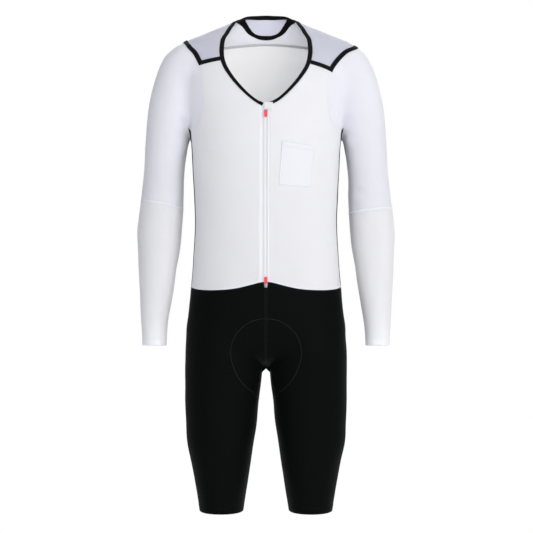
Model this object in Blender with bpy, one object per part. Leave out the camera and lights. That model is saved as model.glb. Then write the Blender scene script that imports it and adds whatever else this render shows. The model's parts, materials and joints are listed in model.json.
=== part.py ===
"""A one-piece cycling skinsuit as it is worn: hollow, sewn from thin cloth, with a front zip.

The cloth's outer surface lies on one smooth form, the soft sum of a body, two arms and two legs.
Seams are drawn on that form, each panel is stretched between its seams, and becomes a thin wall.
The front faces -Y, the wearer's left is +X, and the origin lies between the tops of the shoulders.
Tables are in millimetres; everything else is in metres.
"""
import math

import bmesh
import bpy
import numpy as np

MM = 0.001

# Cloth and trim
CLOTH = 1.2 * MM
BINDING = 2.0 * MM
BINDING_HEIGHTS = (-155.0 * MM, -70.0 * MM)
BINDING_WIDTHS = (5.5 * MM, 8.8 * MM)
BINDING_LIFT = 0.2 * MM
BINDING_END_SHIFT = 4.0 * MM
TAPE = 0.8 * MM
TAPE_WIDTH = 9.0 * MM
YOKE_TAPE_WIDTH = 7.5 * MM
TAPE_LIFT = 0.9 * MM
PATCH_LIFT = 0.5 * MM
TAPE_SUPPORT = 5.5 * MM
SUPPORT_DEPTH = 8.0 * MM
SEAM_GAP = 0.3 * MM

# Zip, as places across the front
CHAIN_EDGES = (-3.8 * MM, 0.8 * MM)
CHAIN_THICK = 1.9 * MM
CHAIN_SINK = 0.2 * MM
RIGHT_FRONT_EDGE = -8.0 * MM
LEFT_FRONT_EDGE = 1.9 * MM
ZIP_TAPE_HIDDEN = 7.0 * MM
ZIP_TAPE = 0.8 * MM
ZIP_TAPE_GAP = 0.3 * MM
ZIP_END = -0.5141

# Sliders and pull tabs; a slider is given round its hinge, with Y outward from the cloth
PULL_X = -0.4 * MM
PULL_TOP_Z = -0.1845
PULL_BOTTOM_Z = -0.5178
SLIDER_LIFT = 0.5 * MM
SLIDER_THICK = 1.8 * MM
SLIDER_HALF = 3.4 * MM
SLIDER_ABOVE = 2.2 * MM
SLIDER_BELOW = 8.0 * MM
BAIL_HALF_WIDTH = 0.6 * MM
BAIL_HALF_LENGTH = 2.0 * MM
BAIL_BAR = 0.8 * MM
BAIL_SPACE = 2.0 * MM
PULL_HALF = 3.1 * MM
PULL_THICK = 1.1 * MM
PULL_BAR = 0.6 * MM
PULL_LENGTH = 12.8 * MM
PULL_EYE_HALF = 0.95 * MM
PULL_EYE_END = 3.0 * MM

# Seams on the front are drawn on the upright plane y = 0, as seen from a point in front of it
VIEW_DISTANCE = 3.2
VIEW_HEIGHT = -0.485
# Rays to the front start this far behind that plane, inside the form
INSIDE_Y = 0.015

# Columns: height, centre x, centre y, half width, front depth, back depth
BODY_ROWS = (
    (32, 0, 46, 16, 16, 18),
    (26, 0, 44, 30, 20, 22),
    (22, 0, 42.5, 39, 23, 25),
    (17, 0, 41, 48.5, 27, 28),
    (11.5, 0, 39.5, 60, 30, 30),
    (5, 0, 36, 74, 34, 33.5),
    (-2, 0, 32, 88, 37, 37),
    (-9, 0, 28, 105, 41, 41),
    (-21, 0, 22, 131, 47, 47),
    (-33, 0, 16, 158, 54, 55),
    (-46, 0, 12, 170, 61, 64),
    (-64, 0, 7, 174, 71, 74),
    (-90, 0, 3, 174, 84, 85),
    (-120, 0, 0, 167, 96, 92),
    (-160, 0, 0, 159, 107, 97),
    (-200, 0, 0, 153, 112, 98),
    (-236, 0, 0, 149.5, 112, 96),
    (-280, 0, 0, 147, 107, 92),
    (-330, 0, 0, 144.5, 100, 85),
    (-392, 0, 0, 142, 93, 76),
    (-450, 0, 0, 144, 92, 75),
    (-500, 0, 0, 147.5, 94, 82),
    (-540, 0, 0, 151, 95, 90),
    (-584, 0, 0, 153.5, 94, 97),
    (-620, 0, 0, 144, 88, 94),
    (-650, 0, 0, 116, 74, 78),
    (-668, 0, 0, 76, 48, 52),
    (-677, 0, 0, 30, 20, 22),
)
ARM_ROWS = (
    (-46, 160, 6, 18, 30, 30),
    (-60, 163, 6, 34, 43, 43),
    (-80, 167, 5, 43, 49, 49),
    (-110, 174, 5, 47.5, 52, 52),
    (-150, 182.5, 5, 49.3, 53, 53),
    (-200, 191, 5, 47.5, 51, 51),
    (-236, 197.5, 6, 43.6, 49, 49),
    (-272, 202, 8, 41, 48, 48),
    (-308, 205, 10, 40.5, 47, 47),
    (-344, 207.5, 12, 42.5, 46, 46),
    (-380, 210.5, 13, 44, 46, 47),
    (-416, 213.5, 11, 44.5, 45, 46),
    (-452, 214.5, 6, 42, 43, 44),
    (-488, 216.5, -2, 38, 40, 41),
    (-524, 217.5, -11, 34.5, 37, 37),
    (-560, 219, -21, 30.5, 33, 33),
    (-596, 220.5, -30, 26.5, 29, 29),
    (-642, 220.5, -39, 23.5, 26, 26),
    (-660, 220.5, -42, 23, 25, 25),
)
LEG_ROWS = (
    (-560, 76, 0, 56, 62, 62),
    (-600, 79.5, 0, 75, 80, 86),
    (-640, 82, 0, 78.5, 86, 95),
    (-680, 84, 0, 77.5, 85, 92),
    (-720, 86, 0, 75.5, 82, 84),
    (-752, 88, 0, 73.5, 80, 75),
    (-792, 89, 0, 71, 78, 66),
    (-832, 91, 0, 67, 76, 59),
    (-872, 90, 0, 60, 73, 53),
    (-912, 89, 0, 53, 69, 47),
    (-952, 89, 0, 46.5, 64, 44),
    (-976, 89, 0, 43, 61, 43),
    (-1000, 89, 0, 42, 59, 42),
)
CAP_STEEPNESS = 3.0
BODY_ROUNDNESS = 2.35
ARM_ROUNDNESS = 2.1
LEG_ROUNDNESS = 2.15

# How softly the limbs run into the body
SHOULDER_BLEND = (-0.060, 0.030)
ARMPIT_BLEND = (-0.215, 0.006)
HIP_BLEND = 0.020
CROTCH_BLEND = 0.018

# Rays that find the cloth start on a limb's axis, below these heights
BODY_CEILING = -0.110
ARM_CEILING = -0.105
LEG_START = -0.520
LEG_FULL = -0.660
SADDLE_CENTRE = (0.0, 0.0, -0.600)

# Seam rows are: how the row is placed, then two sizes. "front" is x, z on the front drawing,
# "back" x, z, "side" y, z, "top" and "under" x, y. A row's x is for the wearer's left and is
# mirrored for the right.
NECK_FRONT = (
    ("front", 26.3, -152),
    ("front", 38.6, -142),
    ("front", 58.8, -122),
    ("front", 75, -102),
    ("front", 86.3, -84),
)
NECK_SIDE = (
    ("front", 93, -54),
    ("front", 92, -40),
    ("front", 87.2, -24.5),
    ("front", 77, -9),
    ("top", 63, 35),
    ("back", 58.5, 10.5),
)
NECK_TIP = (("back", 58.5, 10.5), ("back", 51, 15.2), ("back", 44, 17.8))
NECK_BACK = (("back", 44, 17.8), ("back", 22, 18.6), ("back", 0, 18.8))
INSET_UPPER = (("back", 44, 17.8), ("back", 34.3, 2.3), ("back", 23.3, -10), ("back", 12, -14),
               ("back", 0, -14.6))
INSET_LOWER = (("back", 58.5, 10.5), ("back", 46.5, 2.3), ("back", 37.5, -9), ("back", 22.5, -18),
               ("back", 12, -21.6), ("back", 0, -22.8))
YOKE_BACK = (("back", 150, -54), ("back", 90, -40), ("back", 0, -32))
WAIST_FRONT = (
    ("front", 96, -532),
    ("front", 60, -528.5),
    ("front", 30, -521.5),
    ("front", 10, -516.5),
    ("front", 0, -515.5),
)
WAIST_BACK = (("back", 118, -517), ("back", 60, -510), ("back", 0, -507))
ARMHOLE_BACK = (("back", 140, -100), ("back", 136, -150), ("back", 142, -195))
SIDE_SEAM_FRONT = (
    ("side", -27, -262),
    ("side", -26, -330),
    ("side", -24, -400),
    ("side", -22, -460),
    ("side", -21, -526),
)
SIDE_SEAM_BACK = (
    ("side", 27, -262),
    ("side", 26, -330),
    ("side", 24, -400),
    ("side", 23, -460),
    ("side", 22, -523),
)
UNDERARM = ((155, -27), (152.3, -14), (151.6, 0), (152, 14), (153, 27))

# The two sides differ a little in how they were fitted; x is again for the wearer's left
RIGHT = {
    "sign": -1,
    "neck_point": ("front", 91.6, -69),
    "yoke_corner": ("front", 131, -78),
    "shoulder": (("front", 142.5, -57), ("front", 153, -46), ("top", 163, 14), ("back", 160, -52)),
    "yoke_end": ("back", 150, -54),
    "armhole": (("front", 129, -94), ("front", 125.5, -138), ("front", 130, -183),
                ("front", 140, -203)),
    "elbow": (-353, 17),
}
LEFT = {
    "sign": 1,
    "neck_point": ("front", 89.4, -76),
    "yoke_corner": ("front", 130, -91),
    "shoulder": (("front", 142, -73), ("front", 158, -57), ("front", 174, -49.5), ("top", 181, 14),
                 ("back", 170, -62)),
    "yoke_end": ("back", 150, -54),
    "armhole": (("front", 125.5, -105), ("front", 124, -150), ("front", 129.5, -188),
                ("front", 142, -210)),
    "elbow": (-368, 10),
}
CUFF_TILT = 0.06
CUFF_HEIGHT = -0.641
HEM_HEIGHT = -0.972

# The pocket's corners on the front drawing, from the zip side's top, clockwise as seen
POCKET_CORNERS = ((32, -233), (98, -244), (89.5, -326), (25.5, -321))
POCKET_GRID = (6, 6)
GARAGE_EDGES = (-4.0, 14.0)
GARAGE_HEIGHTS = (-156.0, -170.8)
GARAGE_GRID = (3, 3)

# Steps along each seam, shared by the panels on both sides of it
STEPS = {
    "neck_front": 5, "yoke_front": 5, "neck_side": 9, "neck_tip": 1, "neck_back": 14,
    "shoulder": 8, "armhole_front": 7, "armhole_back": 8, "underarm": 4, "side": 9,
    "waist_front": 10, "yoke_back": 16, "upper_sleeve": 10, "lower_sleeve": 8,
    "crotch": 7, "inseam": 10,
}

COLOURS = {
    "white_cloth": ((0.84, 0.84, 0.88), 0.62),
    "yoke_cloth": ((0.56, 0.56, 0.66), 0.7),
    "side_mesh": ((0.03, 0.028, 0.028), 0.8),
    "black_cloth": ((0.012, 0.012, 0.013), 0.55),
    "black_binding": ((0.01, 0.01, 0.011), 0.6),
    "zip_tape": ((0.78, 0.78, 0.82), 0.7),
    "zip_chain": ((0.8, 0.8, 0.83), 0.45),
    "slider_metal": ((0.45, 0.46, 0.48), 0.35),
    "pull_red": ((0.9, 0.04, 0.09), 0.4),
}


class Limb:
    """A smooth tube whose flat sections are read from a table of rows, highest first."""

    def __init__(self, rows, roundness):
        table = np.array(rows, dtype=float)[::-1] * MM
        self.heights = table[:, 0]
        self.columns = table[:, 1:]
        self.slopes = np.gradient(self.columns, self.heights, axis=0)
        self.roundness = roundness

    def section(self, z):
        """Centre x, centre y, half width, front depth and back depth at heights z."""
        z = np.clip(z, self.heights[0], self.heights[-1])
        low = np.searchsorted(self.heights, z, side="right") - 1
        low = np.clip(low, 0, len(self.heights) - 2)
        span = self.heights[low + 1] - self.heights[low]
        t = ((z - self.heights[low]) / span)[..., None]
        span = span[..., None]
        smooth = (
            (2 * t ** 3 - 3 * t ** 2 + 1) * self.columns[low]
            + (t ** 3 - 2 * t ** 2 + t) * span * self.slopes[low]
            + (3 * t ** 2 - 2 * t ** 3) * self.columns[low + 1]
            + (t ** 3 - t ** 2) * span * self.slopes[low + 1]
        )
        return np.moveaxis(smooth, -1, 0)

    def outside(self, x, y, z):
        """How far points lie outside the tube, below zero inside it."""
        centre_x, centre_y, half, front, back = self.section(z)
        across = x - centre_x
        deep = y - centre_y
        depth = np.where(deep < 0, front, back)
        power = self.roundness
        share = (np.abs(across / half) ** power + np.abs(deep / depth) ** power) ** (1 / power)
        share = np.maximum(share, 1e-6)
        reach = np.maximum(np.hypot(across, deep), 1e-6 * half)
        past_end = np.abs(z - np.clip(z, self.heights[0], self.heights[-1]))
        return reach * (1 - 1 / share) + CAP_STEEPNESS * past_end


BODY = Limb(BODY_ROWS, BODY_ROUNDNESS)
ARM = Limb(ARM_ROWS, ARM_ROUNDNESS)
LEG = Limb(LEG_ROWS, LEG_ROUNDNESS)


def soft_sum(first, second, reach):
    """Join two shapes, rounding the inner corner between them over the given reach."""
    near = np.maximum(reach - np.abs(first - second), 0.0) / reach
    return np.minimum(first, second) - near * near * reach / 4


def outside_form(points):
    """How far points lie outside the worn form, below zero inside it."""
    x, y, z = points[..., 0], points[..., 1], points[..., 2]
    legs = soft_sum(LEG.outside(x, y, z), LEG.outside(-x, y, z), CROTCH_BLEND)
    trunk = soft_sum(BODY.outside(x, y, z), legs, HIP_BLEND)
    heights = (ARMPIT_BLEND[0], SHOULDER_BLEND[0])
    reach = np.interp(z, heights, (ARMPIT_BLEND[1], SHOULDER_BLEND[1]))
    return soft_sum(trunk, ARM.outside(np.abs(x), y, z), reach)


def form_normals(points):
    """Outward directions of the form at points on it."""
    step = 0.0004
    slope = np.empty(points.shape)
    for axis in range(3):
        shift = np.zeros(3)
        shift[axis] = step
        slope[..., axis] = outside_form(points + shift) - outside_form(points - shift)
    return unit(slope)


def unit(vectors):
    """The vectors at a length of one."""
    length = np.linalg.norm(vectors, axis=-1, keepdims=True)
    return vectors / np.maximum(length, 1e-12)


def leave(origins, directions, reach=0.46, step=0.003):
    """The points where rays from inside the form first leave it."""
    if np.any(outside_form(origins) > 0):
        raise ValueError("a ray starts outside the form")
    marks = np.arange(step, reach, step)
    walk = origins[:, None] + directions[:, None] * marks[None, :, None]
    out = outside_form(walk) > 0
    if not np.all(out.any(axis=1)):
        raise ValueError("a ray never leaves the form")
    high = marks[np.argmax(out, axis=1)]
    low = high - step
    for _ in range(16):
        middle = (low + high) / 2
        out = outside_form(origins + directions * middle[:, None]) > 0
        high = np.where(out, middle, high)
        low = np.where(out, low, middle)
    return origins + directions * high[:, None]


def body_axis(heights, sign):
    """Points on the body's axis."""
    return np.stack([0 * heights, BODY.section(heights)[1], heights], axis=-1)


def arm_axis(heights, sign):
    """Points on an arm's axis."""
    centre = ARM.section(heights)
    return np.stack([sign * centre[0], centre[1], heights], axis=-1)


def leg_axis(heights, sign):
    """Points that move from the body's axis at the waist to the leg's axis below the hip."""
    share = np.clip((LEG_START - heights) / (LEG_START - LEG_FULL), 0, 1)
    share = share * share * (3 - 2 * share)
    return np.stack([sign * share * LEG.section(heights)[0], 0 * heights, heights], axis=-1)


AXES = {
    "body": (body_axis, BODY_CEILING),
    "arm": (arm_axis, ARM_CEILING),
    "leg": (leg_axis, 0.0),
}


def as_rays(points, limb, sign):
    """Heights on a limb's axis and directions from there to the points, as four columns."""
    axis, ceiling = AXES[limb]
    heights = np.minimum(points[:, 2], ceiling)
    return np.column_stack([heights, unit(points - axis(heights, sign))])


def from_rays(rays, limb, sign):
    """Points of the form that lie on rays given as height and direction."""
    axis, _ = AXES[limb]
    return leave(axis(rays[:, 0], sign), unit(rays[:, 1:]))


def lay(row, sign):
    """The point of the form that a seam row gives."""
    view, a, b = row[0], row[1] * MM, row[2] * MM
    if view == "front":
        eye = np.array([0, -VIEW_DISTANCE, VIEW_HEIGHT])
        drawn = np.array([sign * a, 0, b])
        start = eye + (drawn - eye) * (VIEW_DISTANCE + INSIDE_Y) / VIEW_DISTANCE
        direction = unit(eye - drawn)
    elif view == "back":
        start = np.array([sign * a, float(BODY.section(np.array(b))[1]), b])
        direction = np.array([0, 1.0, 0])
    elif view == "side":
        start = np.array([0, a, b])
        direction = np.array([sign, 0, 0])
    elif view == "top":
        start = np.array([sign * a, b, BODY_CEILING])
        direction = np.array([0, 0, 1.0])
    else:
        start = np.array([sign * a, b, BODY_CEILING])
        direction = np.array([0, 0, -1.0])
    return leave(start[None], direction[None])[0]


def resample(knots, steps):
    """Even points along a smooth curve through the knots."""
    knots = np.array(knots)
    along = np.concatenate([[0], np.cumsum(np.linalg.norm(np.diff(knots, axis=0), axis=1))])
    if len(knots) == 2:
        slopes = np.repeat((knots[1:] - knots[:1]) / along[1], 2, axis=0)
    else:
        slopes = np.gradient(knots, along, axis=0, edge_order=2)
    fine = []
    for index in range(len(knots) - 1):
        span = along[index + 1] - along[index]
        t = np.linspace(0, 1, 41)[:, None]
        piece = (
            (2 * t ** 3 - 3 * t ** 2 + 1) * knots[index]
            + (t ** 3 - 2 * t ** 2 + t) * span * slopes[index]
            + (3 * t ** 2 - 2 * t ** 3) * knots[index + 1]
            + (t ** 3 - t ** 2) * span * slopes[index + 1]
        )
        fine.append(piece if index == 0 else piece[1:])
    fine = np.concatenate(fine)
    walked = np.concatenate([[0], np.cumsum(np.linalg.norm(np.diff(fine, axis=0), axis=1))])
    wanted = np.linspace(0, walked[-1], steps + 1)
    return np.stack([np.interp(wanted, walked, fine[:, k]) for k in range(3)], axis=1)


def seam(knots, steps, limb, sign):
    """A seam through laid points, with its inner points moved onto the form."""
    points = resample(knots, steps)
    if steps > 1:
        rays = as_rays(points[1:-1], limb, sign)
        points[1:-1] = from_rays(rays, limb, sign)
    return points


def lay_rows(rows, sign):
    """The points of the form that several seam rows give."""
    return [lay(row, sign) for row in rows]


def stretch(top, bottom, first, last, limb, sign):
    """A grid of points on the form between four seams; first and last run from top to bottom."""
    rows, columns = len(first), len(top)
    edges = [as_rays(edge, limb, sign) for edge in (top, bottom, first, last)]
    u = np.linspace(0, 1, columns)[None, :, None]
    v = np.linspace(0, 1, rows)[:, None, None]
    top_rays, bottom_rays = edges[0][None, :, :], edges[1][None, :, :]
    first_rays, last_rays = edges[2][:, None, :], edges[3][:, None, :]
    corners = (
        (1 - u) * (1 - v) * top_rays[:, :1] + u * (1 - v) * top_rays[:, -1:]
        + (1 - u) * v * bottom_rays[:, :1] + u * v * bottom_rays[:, -1:]
    )
    rays = (1 - v) * top_rays + v * bottom_rays + (1 - u) * first_rays + u * last_rays - corners
    grid = np.empty((rows, columns, 3))
    grid[0], grid[-1], grid[:, 0], grid[:, -1] = top, bottom, first, last
    if rows > 2 and columns > 2:
        inner = rays[1:-1, 1:-1].reshape(-1, 4)
        grid[1:-1, 1:-1] = from_rays(inner, limb, sign).reshape(rows - 2, columns - 2, 3)
    return grid


def loft_ring(top, bottom, rows, limb, sign):
    """A closed sleeve of points between two rings, given without their repeated last point."""
    top_rays = as_rays(top, limb, sign)[None]
    bottom_rays = as_rays(bottom, limb, sign)[None]
    v = np.linspace(0, 1, rows + 1)[:, None, None]
    rays = (1 - v) * top_rays + v * bottom_rays
    grid = np.empty((rows + 1, len(top), 3))
    grid[0], grid[-1] = top, bottom
    inner = from_rays(rays[1:-1].reshape(-1, 4), limb, sign)
    grid[1:-1] = inner.reshape(rows - 1, len(top), 3)
    return grid


def support_row(edge, beside, distance):
    """A row at a short distance from a panel's edge, which keeps its facets close to the form."""
    rows = edge + unit(beside - edge) * distance
    normals = form_normals(rows)
    start = rows - normals * SUPPORT_DEPTH
    return leave(start, normals, 2 * SUPPORT_DEPTH, SUPPORT_DEPTH / 8)


def wall_normals(grid, closed):
    """Directions for the wall's thickness, shared at seams and mitred where the cloth folds."""
    normals = form_normals(grid)
    lines = [(0, 1, False), (-1, -2, False)]
    if not closed:
        lines += [(0, 1, True), (-1, -2, True)]
    for edge, beside, upright in lines:
        pick = (lambda a, i: a[:, i]) if upright else (lambda a, i: a[i])
        at_edge, next_in = pick(normals, edge), pick(normals, beside)
        folded = np.sum(at_edge * next_in, axis=-1, keepdims=True) < math.cos(math.radians(48))
        mitred = np.where(folded, unit(at_edge + next_in), at_edge)
        if upright:
            normals[:, edge] = mitred
        else:
            normals[edge] = mitred
    return normals


def draw_in(grid, closed, gap):
    """Move a panel's outer points in by half a seam gap."""
    moved = grid.copy()
    moved[0] += unit(grid[1] - grid[0]) * gap / 2
    moved[-1] += unit(grid[-2] - grid[-1]) * gap / 2
    if not closed:
        moved[:, 0] += unit(grid[:, 1] - grid[:, 0]) * gap / 2
        moved[:, -1] += unit(grid[:, -2] - grid[:, -1]) * gap / 2
    return moved


def principled(name):
    """The material of a given name from the table of colours."""
    colour, roughness = COLOURS[name]
    material = bpy.data.materials.get(name) or bpy.data.materials.new(name)
    material.use_nodes = True
    shader = material.node_tree.nodes["Principled BSDF"]
    shader.inputs["Base Color"].default_value = (*colour, 1)
    shader.inputs["Roughness"].default_value = roughness
    shader.inputs["Metallic"].default_value = 0.9 if name == "slider_metal" else 0.0
    return material


def add_object(name, mesh_data, material, location=(0, 0, 0), turn=0.0):
    """Make a named object from a bmesh, with faces turned outward."""
    bmesh.ops.remove_doubles(mesh_data, verts=mesh_data.verts, dist=0.02 * MM)
    bmesh.ops.recalc_face_normals(mesh_data, faces=mesh_data.faces)
    if mesh_data.calc_volume(signed=True) < 0:
        bmesh.ops.reverse_faces(mesh_data, faces=mesh_data.faces)
    mesh = bpy.data.meshes.new(name)
    mesh_data.to_mesh(mesh)
    mesh_data.free()
    mesh.materials.append(principled(material))
    mesh.shade_smooth()
    mesh.set_sharp_from_angle(angle=math.radians(40))
    thing = bpy.data.objects.new(name, mesh)
    thing.location = location
    thing.rotation_euler = (turn, 0, 0)
    bpy.context.scene.collection.objects.link(thing)
    return thing


def add_wall(name, outer, inner, material, closed=False):
    """A closed thin solid between an outer and an inner grid of points."""
    rows, columns = outer.shape[:2]
    work = bmesh.new()
    skins = []
    for grid in (outer, inner):
        skins.append([[work.verts.new(point) for point in row] for row in grid])
    steps = columns if closed else columns - 1
    for skin, flip in ((skins[0], False), (skins[1], True)):
        for r in range(rows - 1):
            for c in range(steps):
                d = (c + 1) % columns
                ring = [skin[r][c], skin[r][d], skin[r + 1][d], skin[r + 1][c]]
                work.faces.new(ring[::-1] if flip else ring)
    for r in (0, rows - 1):
        for c in range(steps):
            d = (c + 1) % columns
            work.faces.new([skins[0][r][c], skins[1][r][c], skins[1][r][d], skins[0][r][d]])
    if not closed:
        for c in (0, columns - 1):
            for r in range(rows - 1):
                work.faces.new([skins[0][r][c], skins[0][r + 1][c],
                                skins[1][r + 1][c], skins[1][r][c]])
    bmesh.ops.remove_doubles(work, verts=work.verts, dist=0.02 * MM)
    bmesh.ops.triangulate(work, faces=work.faces, quad_method="SHORT_EDGE")
    return add_object(name, work, material)


def add_panel(name, grid, material, thickness=CLOTH, lift=0.0, closed=False, gap=SEAM_GAP):
    """A cloth panel whose outer points lie on the form, lifted by a set amount."""
    normals = wall_normals(grid, closed)
    outer = draw_in(grid, closed, gap) + normals * lift
    return add_wall(name, outer, outer - normals * thickness, material, closed)


def side_seams(side):
    """All seams of one side of the suit, by name, each an array of points."""
    sign = side["sign"]

    def on(rows, steps, limb, start=(), end=()):
        return seam([*start, *lay_rows(rows, sign), *end], STEPS[steps], limb, sign)

    neck_point = lay(side["neck_point"], sign)
    corner = lay(side["yoke_corner"], sign)
    yoke_end = lay(side["yoke_end"], sign)
    underarm = np.array([lay(("under", x, y), sign) for x, y in UNDERARM])
    zip_x = RIGHT_FRONT_EDGE if sign < 0 else LEFT_FRONT_EDGE
    neck_start = lay(("front", abs(zip_x) / MM, -163), sign)
    front_armpit, back_armpit = underarm[0], underarm[-1]
    seams = {
        "neck_front": on(NECK_FRONT, "neck_front", "body", [neck_start], [neck_point]),
        "yoke_front": seam([neck_point, corner], STEPS["yoke_front"], "body", sign),
        "neck_side": on(NECK_SIDE, "neck_side", "body", [neck_point]),
        "neck_tip": on(NECK_TIP, "neck_tip", "body"),
        "shoulder": on(side["shoulder"], "shoulder", "arm", [corner], [yoke_end]),
        "armhole_front": on(side["armhole"], "armhole_front", "body", [corner], [front_armpit]),
        "armhole_back": on(ARMHOLE_BACK, "armhole_back", "body", [yoke_end], [back_armpit]),
        "underarm": underarm,
        "side_front": on(SIDE_SEAM_FRONT, "side", "body", [front_armpit]),
        "side_back": on(SIDE_SEAM_BACK, "side", "body", [back_armpit]),
    }
    waist_front = [seams["side_front"][-1], *lay_rows(WAIST_FRONT, sign)]
    seams["waist_front"] = seam(waist_front, STEPS["waist_front"], "body", sign)[::-1]
    side_waist = [seams["side_front"][-1], lay(("side", 0, -525), sign), seams["side_back"][-1]]
    seams["waist_side"] = seam(side_waist, STEPS["underarm"], "body", sign)
    waist_back = [seams["side_back"][-1], *lay_rows(WAIST_BACK, sign)]
    seams["waist_back"] = seam(waist_back, STEPS["yoke_back"] // 2, "body", sign)
    return seams


def across_back(rows, steps):
    """A back seam that runs from the wearer's right to the left through the centre line."""
    right, left = lay_rows(rows, -1), lay_rows(rows, 1)
    return seam([*right, *left[::-1][1:]], steps, "body", 1)


def make_fronts(all_seams):
    """The two fronts, cut back from the centre line to their own edges beside the zip."""
    grids = {}
    for side, name, edge in ((RIGHT, "right", RIGHT_FRONT_EDGE), (LEFT, "left", LEFT_FRONT_EDGE)):
        sign, seams = side["sign"], all_seams[name]
        bottom = seams["waist_front"].copy()
        share = (abs(edge) - abs(bottom[0, 0])) / (abs(bottom[1, 0]) - abs(bottom[0, 0]))
        bottom[0] += (bottom[1] - bottom[0]) * share
        top = np.concatenate([seams["neck_front"], seams["yoke_front"][1:]])
        last = np.concatenate([seams["armhole_front"], seams["side_front"][1:]])
        heights = np.linspace(top[0, 2], bottom[0, 2], len(last))
        first = np.array([lay_straight(edge, z) for z in heights])
        first[0], first[-1] = top[0], bottom[0]
        grids[name] = stretch(top, bottom, first, last, "body", sign)
        add_panel(f"front_{name}", grids[name], "white_cloth")
    return grids


def lay_straight(x, z):
    """The front point of the form straight ahead of x, z in metres."""
    start = np.array([[x, INSIDE_Y, z]])
    return leave(start, np.array([[0, -1.0, 0]]))[0]


def make_sides(all_seams):
    """The narrow mesh panels below the arms."""
    for side, name in ((RIGHT, "right"), (LEFT, "left")):
        seams = all_seams[name]
        grid = stretch(seams["underarm"], seams["waist_side"], seams["side_front"],
                       seams["side_back"], "body", side["sign"])
        add_panel(f"side_{name}", grid, "side_mesh")


def make_back(all_seams):
    """The back panel below the yoke."""
    right, left = all_seams["right"], all_seams["left"]
    top = across_back(YOKE_BACK, STEPS["yoke_back"])
    bottom = np.concatenate([right["waist_back"], left["waist_back"][::-1][1:]])
    first = np.concatenate([right["armhole_back"], right["side_back"][1:]])
    last = np.concatenate([left["armhole_back"], left["side_back"][1:]])
    add_panel("back", stretch(top, bottom, first, last, "body", 1), "white_cloth")


def make_yoke(all_seams):
    """The yoke over both shoulders, and the half-moon and inset strip at the back of the neck."""
    right, left = all_seams["right"], all_seams["left"]
    upper = across_back(INSET_UPPER, STEPS["neck_back"])
    lower = across_back(INSET_LOWER, STEPS["neck_back"])
    neck_top = across_back(NECK_BACK, STEPS["neck_back"])
    inner = np.concatenate([right["neck_side"], lower[1:], left["neck_side"][::-1][1:]])
    outer = np.concatenate([right["shoulder"], across_back(YOKE_BACK, STEPS["yoke_back"])[1:],
                            left["shoulder"][::-1][1:]])
    grid = stretch(inner, outer, right["yoke_front"], left["yoke_front"], "body", 1)
    support = support_row(grid[-1], grid[-2], TAPE_SUPPORT)
    for end in (0, -1):
        support[end] = grid[-1, end] + unit(grid[-2, end] - grid[-1, end]) * TAPE_SUPPORT
    grid = np.concatenate([grid[:-1], support[None], grid[-1:]])
    add_panel("yoke", grid, "yoke_cloth")
    add_panel("neck_tape", np.stack([upper, lower]), "black_binding")
    middle = (neck_top + upper) / 2
    middle[1:-1] = from_rays(as_rays(middle[1:-1], "body", 1), "body", 1)
    add_panel("back_neck", np.stack([neck_top, middle, upper]), "yoke_cloth")
    return grid, neck_top


def make_neck_binding(all_seams, neck_top):
    """The folded binding: a strip that runs on from the neckline towards the opening."""
    right, left = all_seams["right"], all_seams["left"]
    path = np.concatenate([
        right["neck_front"], right["neck_side"][1:], right["neck_tip"][1:], neck_top[1:],
        left["neck_tip"][::-1][1:], left["neck_side"][::-1][1:], left["neck_front"][::-1][1:],
    ])
    normals = form_normals(path)
    along = unit(np.gradient(path, axis=0))
    inward = unit(np.cross(along, normals))
    edge = path + inward * SEAM_GAP / 2
    widths = np.interp(path[:, 2], BINDING_HEIGHTS, BINDING_WIDTHS)[:, None]
    rows = [edge + inward * widths * share for share in (0, 0.5, 1)]
    outer = np.stack(rows) + normals * BINDING_LIFT
    outer[:, 0] += along[0] * BINDING_END_SHIFT
    add_wall("neck_binding", outer, outer - normals * BINDING, "black_binding")


def ring_directions(angles, sign):
    """Level directions round a limb, from its inner side over its front to its outer side."""
    turn = np.radians(angles)
    return np.stack([-sign * np.cos(turn), -np.sin(turn), 0 * turn], axis=-1)


def arm_ring(heights, angles, sign):
    """A ring of points round an arm."""
    return leave(arm_axis(heights, sign), ring_directions(angles, sign))


def make_sleeves(all_seams):
    """Upper and lower sleeves; their columns start at the front of the armpit."""
    grids = {}
    count = (STEPS["armhole_front"] + STEPS["shoulder"] + STEPS["armhole_back"]
             + STEPS["underarm"])
    first_angle = 180 * STEPS["underarm"] / count
    angles = first_angle + np.arange(count) * 360 / count
    for side, name in ((RIGHT, "right"), (LEFT, "left")):
        sign, seams = side["sign"], all_seams[name]
        armhole = np.concatenate([
            seams["armhole_front"][::-1][:-1], seams["shoulder"][:-1],
            seams["armhole_back"][:-1], seams["underarm"][::-1][:-1],
        ])
        high, drop = side["elbow"]
        inward = (1 + np.cos(np.radians(angles))) / 2
        elbow = arm_ring((high - drop * inward ** 1.5) * MM, angles, sign)
        lean = CUFF_TILT * ARM.section(np.array(CUFF_HEIGHT))[3]
        cuff = arm_ring(CUFF_HEIGHT + lean * np.sin(np.radians(angles)), angles, sign)
        beside = loft_ring(armhole, elbow, STEPS["upper_sleeve"], "arm", sign)[1]
        support = support_row(armhole, beside, TAPE_SUPPORT)
        rest = loft_ring(support, elbow, STEPS["upper_sleeve"] - 1, "arm", sign)
        grids[name] = np.concatenate([armhole[None], rest])
        add_panel(f"sleeve_upper_{name}", grids[name], "white_cloth", closed=True)
        lower = loft_ring(elbow, cuff, STEPS["lower_sleeve"], "arm", sign)
        add_panel(f"sleeve_lower_{name}", lower, "white_cloth", closed=True)
    return grids


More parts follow.
